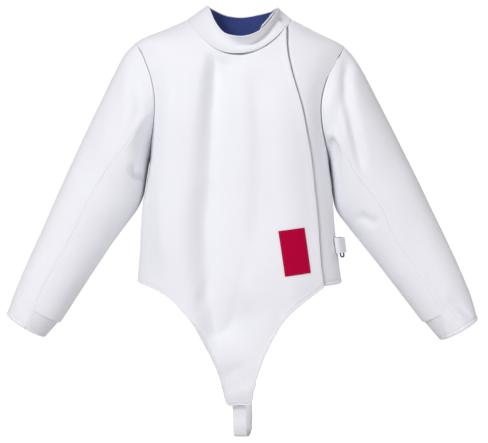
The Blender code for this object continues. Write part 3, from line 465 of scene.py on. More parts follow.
class Finish(Enum):
    """The edge finishes used on the jacket."""

    PLAIN = EdgeFinish(edge_rows((0.0, 0.0, 0.0, CLOTH)))
    SEAM = EdgeFinish(
        edge_rows(
            (6.0, 0.0, 6.0, CLOTH),
            (2.6, 0.0, 3.0, CLOTH),
            (1.2, 0.1, 2.0, CLOTH + 0.1),
            (0.5, 0.3, 1.5, CLOTH + 0.4),
            (0.02, 0.75, 1.2, CLOTH + 0.8),
            (0.1, 2.4, 1.2, 2.4),
        )
    )
    SOFT_SEAM = EdgeFinish(
        edge_rows(
            (6.0, 0.0, 6.0, CLOTH),
            (2.6, 0.0, 3.0, CLOTH),
            (1.2, 0.05, 2.0, CLOTH + 0.1),
            (0.4, 0.15, 1.4, CLOTH + 0.4),
            (-0.1, 0.3, 1.2, CLOTH + 0.8),
            (-0.1, 2.4, 1.2, 2.4),
        )
    )
    DEEP_SEAM = EdgeFinish(
        edge_rows(
            (6.0, 0.0, 6.0, CLOTH),
            (3.0, 0.0, 3.4, CLOTH),
            (1.5, 0.18, 2.2, CLOTH + 0.1),
            (0.6, 0.65, 1.7, CLOTH + 0.5),
            (0.2, 1.5, 1.4, CLOTH + 0.9),
            (0.2, 2.6, 1.4, 2.6),
        )
    )
    FLAP = EdgeFinish(
        edge_rows(
            (9.0, 0.0, 9.0, CLOTH),
            (4.0, 0.0, 4.0, CLOTH + 0.3),
            (1.6, -0.05, 1.6, CLOTH + 0.9),
            (0.6, 0.12, 0.6, CLOTH + 0.8),
            (0.15, 0.5, 0.15, CLOTH + 0.5),
            (0.0, 1.0, 0.0, 1.3),
        )
    )
    SEWN_SEAM = EdgeFinish(
        edge_rows(
            (8.2, 0.0, 8.2, CLOTH),
            (6.6, 0.0, 6.6, CLOTH),
            (5.8, 0.35, 5.8, CLOTH + 0.3),
            (5.0, -0.1, 5.0, CLOTH),
            (2.6, -0.15, 3.0, CLOTH),
            (1.2, 0.2, 2.0, CLOTH + 0.1),
            (0.5, 0.8, 1.6, CLOTH + 0.5),
            (0.2, 1.7, 1.4, CLOTH + 0.9),
            (0.2, 2.6, 1.4, 2.6),
        ),
        2,
    )
    FREE = EdgeFinish(
        edge_rows(
            (9.0, 0.0, 9.0, CLOTH),
            (6.9, 0.0, 6.9, CLOTH),
            (6.1, 0.35, 6.1, CLOTH),
            (5.3, -0.05, 5.3, CLOTH + 0.4),
            (1.6, -0.1, 1.6, CLOTH + 0.5),
            (0.7, 0.08, 0.7, CLOTH + 0.3),
            (0.2, 0.42, 0.2, CLOTH),
            (0.0, 0.8, 0.0, 0.95),
        ),
        2,
    )
    HEM = EdgeFinish(
        edge_rows(
            (12.0, 0.0, 12.0, CLOTH),
            (9.0, 0.0, 9.0, CLOTH),
            (8.0, 0.7, 8.0, CLOTH),
            (7.0, -0.5, 7.0, CLOTH + 0.7),
            (4.0, -1.1, 4.0, CLOTH + 0.9),
            (1.6, -0.8, 1.6, CLOTH + 0.8),
            (0.6, 0.0, 0.6, CLOTH + 0.5),
            (0.15, 0.5, 0.15, CLOTH + 0.1),
            (0.0, 0.95, 0.0, 1.15),
        ),
        2,
    )
    NARROW_HEM = EdgeFinish(
        edge_rows(
            (8.0, 0.0, 8.0, CLOTH),
            (5.4, 0.0, 5.4, CLOTH),
            (4.6, 0.6, 4.6, CLOTH),
            (3.8, -0.4, 3.8, CLOTH + 0.7),
            (1.6, -0.7, 1.6, CLOTH + 0.7),
            (0.6, -0.3, 0.6, CLOTH + 0.5),
            (0.15, 0.45, 0.15, CLOTH + 0.1),
            (0.0, 0.9, 0.0, 1.1),
        ),
        2,
    )
    COLLAR_EDGE = EdgeFinish(
        edge_rows(
            (8.0, 0.0, 8.0, 3.0),
            (5.9, 0.0, 5.9, 3.0),
            (5.1, 0.35, 5.1, 2.8),
            (4.3, 0.0, 4.3, 3.0),
            (1.8, 0.05, 1.8, 2.95),
            (0.7, 0.35, 0.7, 2.65),
            (0.15, 0.95, 0.15, 2.05),
            (0.0, 1.4, 0.0, 1.6),
        ),
        2,
    )
    COLLAR_SEAM = EdgeFinish(
        edge_rows(
            (4.0, 0.0, 4.0, 3.0),
            (1.6, 0.15, 1.6, 2.95),
            (0.6, 0.6, 0.6, 2.6),
            (0.3, 1.2, 0.3, 2.0),
        )
    )
    RIBBON = EdgeFinish(
        edge_rows(
            (1.6, 0.0, 1.6, 1.4),
            (0.6, 0.04, 0.6, 1.36),
            (0.15, 0.25, 0.15, 1.15),
            (0.0, 0.6, 0.0, 0.8),
        )
    )
    SEWN_RIBBON = EdgeFinish(
        edge_rows(
            (4.2, 0.0, 4.2, 1.0),
            (3.2, 0.0, 3.2, 1.0),
            (2.6, 0.25, 2.6, 1.0),
            (2.0, 0.0, 2.0, 1.0),
            (0.6, 0.06, 0.6, 1.0),
            (0.15, 0.25, 0.15, 0.95),
            (0.0, 0.5, 0.0, 0.7),
        ),
        2,
    )


@dataclass
class Cloth:
    """A panel's wall of cloth: outer and inner grids, the directions out, and flat coordinates."""

    outer: Array
    inner: Array
    normal: Array
    flat: Array
    finishes: dict[Edge, Finish]

    @classmethod
    def from_points(
        cls, points: Array, finishes: dict[Edge, Finish], cells: tuple[int, int], thickness: float = CLOTH
    ) -> Cloth:
        """Cuts a panel's surface into even cells, with its edges finished as they are sewn.

        Along each column, and then along each row, points are set at the finish's distances from both ends
        and evenly between them. A distance is measured square to the edge: it is divided by the sine of the
        angle at which the grid's line meets it. Each point then moves in along the surface's direction out.

        Args:
            points: the surface's own points, on a grid fine enough to show its folds.
            finishes: the finish of each edge.
            cells: how many even cells go between the finished edges, down and across.
            thickness: the cloth's thickness away from its edges.

        Returns:
            The wall's grids.
        """
        across = np.cumsum(np.linalg.norm(np.diff(points, axis=1, prepend=points[:, :1]), axis=-1), axis=1)
        across = across - across[:, [points.shape[1] // 2]]
        down = np.cumsum(np.linalg.norm(np.diff(points, axis=0, prepend=points[:1]), axis=-1), axis=0)
        values = np.concatenate([points, grid_normals(points), across[..., None], down[..., None]], axis=-1)
        sheets = []
        drops = []
        for inside in (False, True):
            sheet = values
            depth = []
            for first, last, count in ((Edge.TOP, Edge.BOTTOM, cells[0]), (Edge.START, Edge.END, cells[1])):
                ends = [finishes.get(edge, Finish.PLAIN).value.rows for edge in (first, last)]
                places = cls.places(sheet[..., :3], ends, count, inside)
                sheet = resample(sheet, places).swapaxes(0, 1)
                rest = thickness if inside else 0.0
                known = [[row.inner_drop if inside else row.drop for row in rows] for rows in ends]
                depth.append(np.concatenate([known[0][::-1], np.full(count - 1, rest), known[1]]))
            sheets.append(sheet)
            rest = thickness if inside else 0.0
            pair = np.stack(np.broadcast_arrays(depth[0][:, None], depth[1][None]), axis=-1) - rest
            chosen = np.abs(pair).argmax(axis=-1)[..., None]
            drops.append(np.take_along_axis(pair, chosen, -1)[..., 0] + rest)
        outer, inner = (
            sheet[..., :3] - unit(sheet[..., 3:6]) * drop[..., None] for sheet, drop in zip(sheets, drops)
        )
        return cls(outer, inner, unit(sheets[0][..., 3:6]), sheets[0][..., 6:] * MM, finishes)

    @staticmethod
    def places(points: Array, ends: list[tuple[EdgeRow, ...]], count: int, inside: bool) -> Array:
        """Where the lines of points go along each column, in rows of the grid."""
        steps = np.linalg.norm(np.diff(points, axis=0), axis=-1)
        travelled = np.concatenate([np.zeros((1, points.shape[1])), np.cumsum(steps, axis=0)])
        total = travelled[-1]
        lines = []
        for rows, edge, step in zip(ends, (points[0], points[-1]), (points[1] - points[0], points[-1] - points[-2])):
            meets = np.linalg.norm(np.cross(unit(np.gradient(edge, axis=0)), unit(step)), axis=-1)
            reach = np.array([row.inner_reach if inside else row.reach for row in rows])
            lines.append(reach[::-1, None] / np.clip(meets, 0.55, 1.0)[None])
        squeeze = np.minimum(1.0, 0.8 * total / (lines[0][-1] + lines[1][-1] + 1e-9))
        start, end = lines[0] * squeeze, (total - lines[1] * squeeze)[::-1]
        share = np.linspace(0, 1, count + 1)[1:-1, None]
        at = np.concatenate([start, start[-1] + (end[0] - start[-1]) * share, end])
        shift = np.arange(points.shape[1]) * (total.max() + 1.0)
        known = np.broadcast_to(np.arange(len(points))[:, None], travelled.shape)
        found = np.interp((at + shift).T.ravel(), (travelled + shift).T.ravel(), known.T.ravel())
        return found.reshape(points.shape[1], -1).T

    def sewn_line(self, edge: Edge) -> tuple[Array, Array]:
        """The points of an edge's stitching and the directions out there."""
        finish = self.finishes[edge].value
        if edge in (Edge.TOP, Edge.BOTTOM):
            at = finish.index(edge, len(self.outer))
            return self.outer[at], self.normal[at]
        at = finish.index(edge, self.outer.shape[1])
        return self.outer[:, at], self.normal[:, at]

    def to_object(self, name: str, material: bpy.types.Material) -> bpy.types.Object:
        """Makes the wall a mesh object: both grids, and a rim of faces round their four edges."""
        rows, columns = self.outer.shape[:2]
        shift = rows * columns
        index = np.arange(shift).reshape(rows, columns)
        corners = (index[:-1, :-1], index[1:, :-1], index[1:, 1:], index[:-1, 1:])
        a, b, c, d = (corner.ravel() for corner in corners)
        quads = [np.stack([a, b, c, d], axis=1), np.stack([a, d, c, b], axis=1) + shift]
        for edge, turned in ((index[:, 0], True), (index[:, -1], False), (index[0], False), (index[-1], True)):
            first, second = edge[:-1], edge[1:]
            rim = np.stack([first, second, second + shift, first + shift], axis=1)
            quads.append(rim[:, ::-1] if turned else rim)
        points = np.concatenate([self.outer.reshape(-1, 3), self.inner.reshape(-1, 3)]) * MM
        flat = np.concatenate([self.flat.reshape(-1, 2)] * 2)
        return mesh_object(name, points, np.concatenate(quads), material, flat)


def mesh_object(
    name: str, points: Array, faces: Array, material: bpy.types.Material, flat: Array | None = None
) -> bpy.types.Object:
    """Makes a smooth mesh object in the scene.

    Args:
        name: the object's name.
        points: its vertices, in metres.
        faces: its faces, as rows of vertex numbers.
        material: its material.
        flat: flat coordinates of each vertex in metres, for a pattern that follows the cloth.

    Returns:
        The object, at the origin.
    """
    mesh = bpy.data.meshes.new(name)
    mesh.from_pydata(points.tolist(), [], faces.tolist())
    mesh.materials.append(material)
    mesh.shade_smooth()
    if flat is not None:
        corners = np.zeros(len(mesh.loops), np.int32)
        mesh.loops.foreach_get("vertex_index", corners)
        mesh.uv_layers.new(name=UV_NAME).data.foreach_set("uv", flat[corners].astype(np.float32).ravel())
    mesh.validate()
    obj = bpy.data.objects.new(name, mesh)
    bpy.context.scene.collection.objects.link(obj)
    return obj


@dataclass(frozen=True)
class Stitch:
    """Rows of sewing: each stitch is a small bean of thread that dips into the cloth at both ends."""

    length: float = 2.8
    pitch: float = 3.4
    radius: float = 0.26
    proud: float = 0.2
    rings: tuple[float, ...] = (-0.8, -0.3, 0.3, 0.8)
    sides: int = 5

    def template(self) -> tuple[Array, Array]:
        """One stitch: rings round its length, rounded off to a point at each end.

        Returns:
            Its points as (along, across, up) and its faces, with triangles given as quads whose last two
            corners are one.
        """
        along = np.array([-1.0, *self.rings, 1.0])
        round_it = np.linspace(0, 2 * np.pi, self.sides, endpoint=False)
        wide = self.radius * np.sqrt(np.clip(1 - along**4, 0.02, 1))
        rise = self.proud * (1 - along**2) - self.radius * 0.8 * along**4
        ring = np.stack([np.zeros_like(round_it), np.cos(round_it), np.sin(round_it)], axis=-1)
        points = ring[None] * wide[:, None, None]
        points[..., 0] += along[:, None] * self.length / 2
        points[..., 2] += rise[:, None]
        index = np.arange(len(along) * self.sides).reshape(len(along), self.sides)
        turned = np.roll(index, -1, axis=1)
        faces = np.stack([index[:-1], turned[:-1], turned[1:], index[1:]], axis=-1).reshape(-1, 4)
        return points.reshape(-1, 3), faces

    def sew(self, name: str, lines: list[tuple[Array, Array]], material: bpy.types.Material) -> bpy.types.Object:
        """Sews stitches along lines of points.

        Args:
            name: the object's name.
            lines: each line's points and directions out.
            material: the thread.

        Returns:
            One object with all the stitches.
        """
        shape, faces = self.template()
        parts = []
        for points, outward in lines:
            steps = np.linalg.norm(np.diff(points, axis=0), axis=-1)
            travelled = np.concatenate([[0.0], np.cumsum(steps)])
            at = np.arange(self.pitch, travelled[-1] - self.pitch, self.pitch)
            read = [np.interp(at, travelled, both[:, axis]) for both in (points, outward) for axis in range(3)]
            ahead = [np.interp(at + 1.0, travelled, points[:, axis]) for axis in range(3)]
            middle, up = np.stack(read[:3], axis=-1), unit(np.stack(read[3:], axis=-1))
            along = unit(np.stack(ahead, axis=-1) - middle)
            beside = unit(np.cross(up, along))
            basis = np.stack([along, beside, np.cross(along, beside)], axis=1)
            parts.append(middle[:, None] + np.einsum("pk,nkc->npc", shape, basis))
        placed = np.concatenate(parts)
        shifted = faces[None] + (np.arange(len(placed)) * len(shape))[:, None, None]
        return mesh_object(name, placed.reshape(-1, 3) * MM, shifted.reshape(-1, 4), material)


class NodeBuilder:
    """Short ways of adding nodes to a tree."""

    def __init__(self, tree: bpy.types.NodeTree) -> None:
        """Keeps the tree."""
        self.tree = tree

    def add(self, kind: str, **settings: object) -> bpy.types.Node:
        """A new node with its settings."""
        node = self.tree.nodes.new(kind)
        for name, value in settings.items():
            setattr(node, name, value)
        return node

    def link(self, source: bpy.types.NodeSocket, target: bpy.types.NodeSocket) -> None:
        """Joins two sockets."""
        self.tree.links.new(source, target)

    def math(self, operation: str, *values: object) -> bpy.types.NodeSocket:
        """A Math node on sockets or numbers, and its result."""
        node = self.add("ShaderNodeMath", operation=operation)
        for socket, value in zip(node.inputs, values):
            if isinstance(value, bpy.types.NodeSocket):
                self.link(value, socket)
            else:
                socket.default_value = value
        return node.outputs[0]

    def noise(self, vector: bpy.types.NodeSocket, scale: float, detail: float = 2.0) -> bpy.types.NodeSocket:
        """A Noise texture's value, about 0.5 on average."""
        node = self.add("ShaderNodeTexNoise")
        node.inputs["Scale"].default_value = scale
        node.inputs["Detail"].default_value = detail
        self.link(vector, node.inputs["Vector"])
        return node.outputs["Fac"]

    def mix(self, share: bpy.types.NodeSocket, first: tuple, second: tuple) -> bpy.types.NodeSocket:
        """A colour between two, by a mask."""
        node = self.add("ShaderNodeMix", data_type="RGBA")
        self.link(share, node.inputs["Factor"])
        node.inputs["A"].default_value = (*first, 1.0)
        node.inputs["B"].default_value = (*second, 1.0)
        return node.outputs["Result"]


class Weave(Enum):
    """The weaves of the jacket's cloths."""

    TWILL = "twill"
    RIBBED = "ribbed"
    PLAIN = "plain"


def weave_group(weave: Weave) -> bpy.types.NodeTree:
    """A node group for one weave, which reads flat coordinates in metres.

    Twill is a slanting ripple crossed by the threads' own ripple, ribs are rounded cords along the length,
    and a plain weave is a chequer of two rounded ripples. Its outputs are Height, 0 to 1, and Gap, which is 1
    between threads.

    Args:
        weave: which weave.

    Returns:
        The group.
    """
    found = bpy.data.node_groups.get(f"weave_{weave.value}")
    if found:
        return found
    tree = bpy.data.node_groups.new(f"weave_{weave.value}", "ShaderNodeTree")
    tree.interface.new_socket("Flat", in_out="INPUT", socket_type="NodeSocketVector")
    tree.interface.new_socket("Thread", in_out="INPUT", socket_type="NodeSocketFloat")
    for name in ("Height", "Gap"):
        tree.interface.new_socket(name, in_out="OUTPUT", socket_type="NodeSocketFloat")
    build = NodeBuilder(tree)
    inputs = build.add("NodeGroupInput")
    outputs = build.add("NodeGroupOutput")
    split = build.add("ShaderNodeSeparateXYZ")
    build.link(inputs.outputs["Flat"], split.inputs[0])
    turn = build.math("DIVIDE", 2 * np.pi, inputs.outputs["Thread"])
    across = build.math("MULTIPLY", split.outputs["X"], turn)
    along = build.math("MULTIPLY", split.outputs["Y"], turn)
    if weave is Weave.TWILL:
        slant = build.math("SINE", build.math("ADD", build.math("MULTIPLY", across, 0.5), along))
        ripple = build.math("SINE", build.math("SUBTRACT", across, build.math("MULTIPLY", along, 0.5)))
        raised = build.math("ADD", build.math("MULTIPLY", slant, 0.34), build.math("MULTIPLY", ripple, 0.16))
    elif weave is Weave.RIBBED:
        cords = build.math("ABSOLUTE", build.math("SINE", build.math("MULTIPLY", across, 0.5)))
        ripple = build.math("MULTIPLY", build.math("SINE", along), 0.1)
        raised = build.math("ADD", build.math("SUBTRACT", cords, 0.55), ripple)
    else:
        raised = build.math("MULTIPLY", build.math("MULTIPLY", build.math("SINE", across), build.math("SINE", along)), 0.5)
    height = build.math("ADD", raised, 0.5)
    build.link(height, outputs.inputs["Height"])
    build.link(build.math("SUBTRACT", 1.0, height), outputs.inputs["Gap"])
    return tree


@dataclass(frozen=True)
class Fabric:
    """A woven finish: its colour, a darker colour for random cloudiness and for painted shade between threads, its
    weave and how it takes light.
    """

    name: str
    color: tuple[float, float, float]
    shade: tuple[float, float, float]
    weave: Weave
    thread: float
    relief: float
    roughness: float
    sheen: float = 0.15
    patchy: float = 0.25
    gloss: float = 0.25

    def material(self) -> bpy.types.Material:
        """The finish as a material: weave and fine fibres in its relief, slight unevenness of colour, and painted
        shade darkening the gaps between threads.
        """
        material = bpy.data.materials.new(self.name)
        material.use_nodes = True
        build = NodeBuilder(material.node_tree)
        shader = material.node_tree.nodes["Principled BSDF"]
        flat = build.add("ShaderNodeUVMap", uv_map=UV_NAME).outputs["UV"]
        place = build.add("ShaderNodeTexCoord").outputs["Object"]
        group = build.add("ShaderNodeGroup", node_tree=weave_group(self.weave))
        build.link(flat, group.inputs["Flat"])
        group.inputs["Thread"].default_value = self.thread * MM
        cloudy = build.math("MULTIPLY", build.noise(place, 9.0, 3.0), self.patchy)
        # Painted shade: the colour darkens towards the darker colour in the gaps between threads.
        painted_gap_shade = build.math("MULTIPLY", group.outputs["Gap"], 0.5)
        fibres = build.noise(place, 900.0, 2.0)
        build.link(build.mix(build.math("ADD", cloudy, painted_gap_shade), self.color, self.shade), shader.inputs["Base Color"])
        rough = build.math("ADD", build.math("MULTIPLY", fibres, 0.12), self.roughness - 0.06)
        build.link(rough, shader.inputs["Roughness"])
        relief = build.math("ADD", group.outputs["Height"], build.math("MULTIPLY", fibres, 0.35))
        bump = build.add("ShaderNodeBump")
        bump.inputs["Strength"].default_value = 0.5
        bump.inputs["Distance"].default_value = self.relief * MM
        build.link(relief, bump.inputs["Height"])
        build.link(bump.outputs["Normal"], shader.inputs["Normal"])
        shader.inputs["Sheen Weight"].default_value = self.sheen
        shader.inputs["Sheen Roughness"].default_value = 0.4
        shader.inputs["Specular IOR Level"].default_value = self.gloss
        return material


@dataclass(frozen=True)
class Thread:
    """Sewing thread: fine twist along its surface."""

    name: str
    color: tuple[float, float, float]

    def material(self) -> bpy.types.Material:
        """The finish as a material."""
        material = bpy.data.materials.new(self.name)
        material.use_nodes = True
        build = NodeBuilder(material.node_tree)
        shader = material.node_tree.nodes["Principled BSDF"]
        place = build.add("ShaderNodeTexCoord").outputs["Object"]
        twist = build.noise(place, 2400.0, 1.0)
        darker = tuple(value * 0.8 for value in self.color)
        build.link(build.mix(twist, self.color, darker), shader.inputs["Base Color"])
        shader.inputs["Roughness"].default_value = 0.55
        shader.inputs["Sheen Weight"].default_value = 0.2
        return material


@dataclass(frozen=True)
class Enamel:
    """Dark satin enamel on wire, worn to bare metal in places."""

    name: str
    color: tuple[float, float, float]
    bare: tuple[float, float, float]

    def material(self) -> bpy.types.Material:
        """The finish as a material."""
        material = bpy.data.materials.new(self.name)
        material.use_nodes = True
        build = NodeBuilder(material.node_tree)
        shader = material.node_tree.nodes["Principled BSDF"]
        place = build.add("ShaderNodeTexCoord").outputs["Object"]
        worn = build.math("GREATER_THAN", build.noise(place, 260.0, 4.0), 0.66)
        build.link(build.mix(worn, self.color, self.bare), shader.inputs["Base Color"])
        build.link(build.math("ADD", build.math("MULTIPLY", worn, 0.5), 0.2), shader.inputs["Metallic"])
        rough = build.math("ADD", build.math("MULTIPLY", build.noise(place, 700.0, 2.0), 0.2), 0.25)
        build.link(rough, shader.inputs["Roughness"])
        return material


@dataclass(frozen=True)
class Wardrobe:
    """All the finishes, each made once."""

    cloth: Fabric = Fabric("white_cloth", (0.86, 0.86, 0.90), (0.80, 0.80, 0.855), Weave.TWILL, 0.9, 0.10, 0.75)
    collar: Fabric = Fabric("collar_cloth", (0.84, 0.84, 0.88), (0.78, 0.78, 0.83), Weave.TWILL, 0.9, 0.10, 0.75)
    lining: Fabric = Fabric("blue_lining", (0.058, 0.088, 0.32), (0.04, 0.06, 0.235), Weave.PLAIN, 0.8, 0.08, 0.8)
    elastic: Fabric = Fabric("ribbed_elastic", (0.90, 0.90, 0.94), (0.74, 0.74, 0.79), Weave.RIBBED, 1.5, 0.35, 0.7)
    knit: Fabric = Fabric("cuff_elastic", (0.82, 0.82, 0.87), (0.74, 0.74, 0.80), Weave.RIBBED, 1.2, 0.16, 0.75)
    webbing: Fabric = Fabric("webbing", (0.86, 0.86, 0.92), (0.74, 0.74, 0.81), Weave.PLAIN, 1.3, 0.25, 0.65)
    patch: Fabric = Fabric("crimson_cloth", (0.50, 0.001, 0.043), (0.33, 0.001, 0.03), Weave.RIBBED, 1.0, 0.18, 0.8, 0.0, 0.25, 0.03)
    thread: Thread = Thread("white_thread", (0.84, 0.84, 0.88))
    red_thread: Thread = Thread("crimson_thread", (0.36, 0.001, 0.035))
    enamel: Enamel = Enamel("dark_enamel", (0.03, 0.03, 0.034), (0.25, 0.25, 0.26))
    made: dict[str, bpy.types.Material] = field(default_factory=dict)

    def get(self, name: str) -> bpy.types.Material:
        """The material of a finish, by its field's name."""
        if name not in self.made:
            self.made[name] = getattr(self, name).material()
        return self.made[name]


@dataclass
class ClothPiece:
    """A piece of cloth that stands for one solid: its cut, finish, edges and stitching."""

    node: str
    slot: str
    finish: str
    flat: tuple[float, float]
    area: float
    held: str
    rests_on: tuple[str, ...]
    cells: tuple[int, int]
    edges: dict[Edge, Finish]
    form: JacketForm = field(default_factory=JacketForm)
    creases: Creases = field(default_factory=Creases)
    stitch: Stitch = field(default_factory=Stitch)
    thickness: float = CLOTH
    thread: str = "thread"

    def surface(self) -> Array:
        """The piece's outer surface, as a fine grid."""
        raise NotImplementedError

    def lines(self, cloth: Cloth) -> list[tuple[Array, Array]]:
        """The piece's lines of stitching."""
        sewn = [edge for edge, finish in self.edges.items() if finish.value.sewn is not None]
        return [cloth.sewn_line(edge) for edge in sewn]

    def cut(self) -> Cloth:
        """The piece's wall of cloth."""
        return Cloth.from_points(self.surface(), self.edges, self.cells, self.thickness)

    def build(self, wardrobe: Wardrobe) -> bpy.types.Object:
        cloth = self.cut()
        obj = cloth.to_object(f"dressed_{self.node}", wardrobe.get(self.finish))
        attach(obj, "root")
        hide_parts(self.node)
        lines = self.lines(cloth)
        if lines:
            sewing = self.stitch.sew(f"stitching_{self.node}", lines, wardrobe.get(self.thread))
            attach(sewing, "root")
        LOG.info("%s: %d faces", obj.name, len(obj.data.polygons))
        return obj


@dataclass
class BodyPanel(ClothPiece):
    """A panel of the body, cut on a field of heights and turns that lies evenly between its edges."""

    shoulder_rows: int = 4
    side_rows: int = 7
    around_step: int = 15
    neck_step: float = 7.5
    relax_rounds: int = 14
    row_power: float = 1.55
    down: int = 7
    over: int = 6
    face: Face = Face.FRONT
    behind: bool = False

    def row_shares(self, count: int) -> Array:
        """How far down the panel its rows lie. They stand closer together at the shoulder."""
        return np.linspace(0, 1, count) ** self.row_power

    def side_line(self, side: Side) -> Array:
        """A long edge: shoulder seam, armhole and side seam, from the neck to the hem."""
        turned = np.arange(self.around_step, 181, self.around_step)
        arm_z, away = self.form.armhole(turned, side)
        away = -away if self.behind else away
        shoulder = np.linspace(0, self.form.shoulder_tip_z, self.shoulder_rows + 1)
        lower = np.linspace(self.form.armpit_z, self.form.side_hem_z, self.side_rows + 1)[1:]
        away = np.concatenate([np.zeros(self.shoulder_rows + 1), away, np.zeros(self.side_rows)])
        return edge_field(np.concatenate([shoulder, arm_z, lower]), side.value * (np.pi / 2 - away))

    def spread(self, edge: Array, count: int, power: float = 1.0) -> Array:
        """Points along an edge of heights and turns, at even steps if the power is 1."""
        fine = np.linspace(0, len(edge) - 1, 200)
        z, turn = (smooth_curve(np.arange(len(edge)), edge[:, axis], fine) for axis in (0, 1))
        lengths = np.linalg.norm(np.diff(self.form.point(z, turn), axis=0), axis=-1)
        travelled = np.concatenate([[0], np.cumsum(lengths)])
        even = np.linspace(0, 1, count) ** power * travelled[-1]
        return edge_field(np.interp(even, travelled, z), np.interp(even, travelled, turn))

    def between(self, top: Array, bottom: Array, left: Array, right: Array) -> Array:
        """A field between four edges: the mean of both ways across, less the mean of the four corners."""
        down = self.row_shares(len(left))[:, None, None]
        over = np.linspace(0, 1, len(top))[None, :, None]
        sides = (1 - over) * left[:, None] + over * right[:, None]
        ends = (1 - down) * top[None] + down * bottom[None]
        corners = (1 - down) * ((1 - over) * top[0] + over * top[-1])
        corners = corners + down * ((1 - over) * bottom[0] + over * bottom[-1])
        return self.relax(sides + ends - corners)

    def relax(self, grid: Array) -> Array:
        """Evens out a field: each inner point moves again and again to the middle of its four neighbours."""
        even = grid.copy()
        pull = 1 / (np.diff(self.row_shares(len(grid))) * (len(grid) - 1))[:, None, None]
        above, below = pull[:-1], pull[1:]
        for _ in range(self.relax_rounds):
            points = self.form.point(even[..., 0], even[..., 1])
            middle = above * points[:-2, 1:-1] + below * points[2:, 1:-1] + points[1:-1, :-2] + points[1:-1, 2:]
            even[1:-1, 1:-1] = self.form.field_of(middle / (above + below + 2), self.behind)
        return even

    def field(self) -> Array:
        """The panel's own field."""
        raise NotImplementedError

    def mask(self, rows: int, columns: int) -> Array:
        """1 inside the panel and 0 at its edges, where folds have died out."""
        down, over = np.linspace(0, 1, rows), np.linspace(0, 1, columns)
        return (ease(down, 0, 0.12) * ease(1 - down, 0, 0.03))[:, None] * (ease(over, 0, 0.1) * ease(1 - over, 0, 0.1))

    def lift(self, points: Array) -> Array:
        """How far the panel lies off the body before it folds."""
        return np.zeros(points.shape[:2])

    def surface(self) -> Array:
        """The field's points, with the panel's lift and folds."""
        fine = denser(self.field(), self.down, self.over)
        base = self.form.point(fine[..., 0], fine[..., 1])
        rise = self.lift(base) + self.creases.rise(self.face, base) * self.mask(*base.shape[:2])
        return base + self.form.normal(fine[..., 0], fine[..., 1]) * rise[..., None]


@dataclass
class FrontMain(BodyPanel):
    """The wearer's right front with the flap across to the left and the crotch tail below, in one cut."""

    right_leg: Table = Table(
        ("z", "turn"),
        (
            (-522.0, -90.0),
            (-524.8, -66.0),
            (-532.2, -52.0),
            (-541.7, -43.8),
            (-553.7, -37.9),
            (-576.3, -31.1),
            (-599.0, -25.5),
            (-644.9, -18.2),
            (-691.7, -12.3),
            (-757.0, -6.9),
        ),
    )
    left_leg: Table = Table(
        ("z", "turn"),
        (
            (-530.5, 47.6),
            (-540.3, 43.4),
            (-553.6, 36.8),
            (-576.1, 28.5),
            (-598.9, 22.9),
            (-644.8, 15.6),
            (-691.7, 10.3),
            (-757.0, 5.9),
        ),
    )
    leg_columns: int = 9
    outer_end: float = 60.0

    def leg_edge(self, table: Table) -> Array:
        """One leg edge at even steps, from the hip down."""
        edge = edge_field(table.column("z"), np.radians(table.column("turn")))
        return self.spread(edge, self.leg_columns + 1)

    def field(self) -> Array:
        """From the neckline to the leg edges and the tail's end."""
        necks = np.arange(-90, self.outer_end + 1, self.neck_step)
        top = edge_field(*self.form.neckline(necks))
        top[:, 1] = (top[:, 1] + np.pi) % (2 * np.pi) - np.pi
        left = self.side_line(Side.RIGHT)
        below = self.form.flap_edge.column("below")
        flap_z = -np.linspace(below[0], below[-1], 40)
        flap = edge_field(flap_z, self.form.turn_at(self.form.flap_edge_x(flap_z), flap_z))
        right = self.spread(flap, len(left), self.row_power)
        right[0] = top[-1]
        leg_right, leg_left = self.leg_edge(self.right_leg), self.leg_edge(self.left_leg)[::-1]
        share = np.linspace(0, 1, len(necks) - 2 * self.leg_columns)[1:-1, None]
        end = (1 - share) * leg_right[-1] + share * leg_left[0]
        bottom = np.concatenate([leg_right, end, leg_left])
        bottom[0], bottom[-1] = left[-1], right[-1]
        return self.between(top, bottom, left, right)

    def lift(self, points: Array) -> Array:
        """The flap's lift over the underlap, and the chest's fullness."""
        x, z = points[..., 0], points[..., 2]
        return self.form.flap_lift(x, z) + self.form.full_front(x, z)


@dataclass
class FrontUnder(BodyPanel):
    """The wearer's left front, whose inner edge lies hidden under the flap."""

    outer_end: float = 60.0
    groove_depth: float = 8.0
    groove_width: float = 4.0

    def field(self) -> Array:
        """From under the flap to the side line."""
        necks = np.arange(self.outer_end / 2, 91, self.neck_step)
        top = edge_field(*self.form.neckline(necks))
        right = self.side_line(Side.LEFT)
        edge_z = np.linspace(top[0, 0], -self.form.flap_edge.column("below")[-1], 40)
        under = self.form.turn_at(self.form.flap_edge_x(edge_z) - self.form.underlap_width, edge_z)
        left = self.spread(edge_field(edge_z, under), len(right), self.row_power)
        left[0] = top[0]
        share = np.linspace(0, 1, len(necks))[:, None]
        return self.between(top, (1 - share) * left[-1] + share * right[-1], left, right)

    def lift(self, points: Array) -> Array:
        """The chest's fullness, which is gone at the armhole, less a bell-shaped groove along the flap's edge."""
        calm = ease(1 - np.linspace(0, 1, points.shape[1]), 0, 0.45)[None]
        x, z = points[..., 0], points[..., 2]
        groove = self.groove_depth * np.exp(-(((x - self.form.flap_edge_x(z)) / self.groove_width) ** 2))
        return self.form.full_front(x, z) * calm - groove


@dataclass
class Back(BodyPanel):
    """The back, in one piece from the left side seam round to the right one."""

    def field(self) -> Array:
        """From side seam to side seam."""
        necks = np.arange(90, 271, self.neck_step)
        top = edge_field(*self.form.neckline(necks))
        top[0, 1], top[-1, 1] = np.pi / 2, 3 * np.pi / 2
        left, right = self.side_line(Side.LEFT), self.side_line(Side.RIGHT)
        right[:, 1] += 2 * np.pi
        share = np.linspace(0, 1, len(necks))[:, None]
        hem = (1 - share) * left[-1] + share * right[-1]
        hem[:, 0] += (self.form.back_hem_z - self.form.side_hem_z) * np.sin(np.pi * share[:, 0]) ** 2
        return self.between(top, hem, left, right)


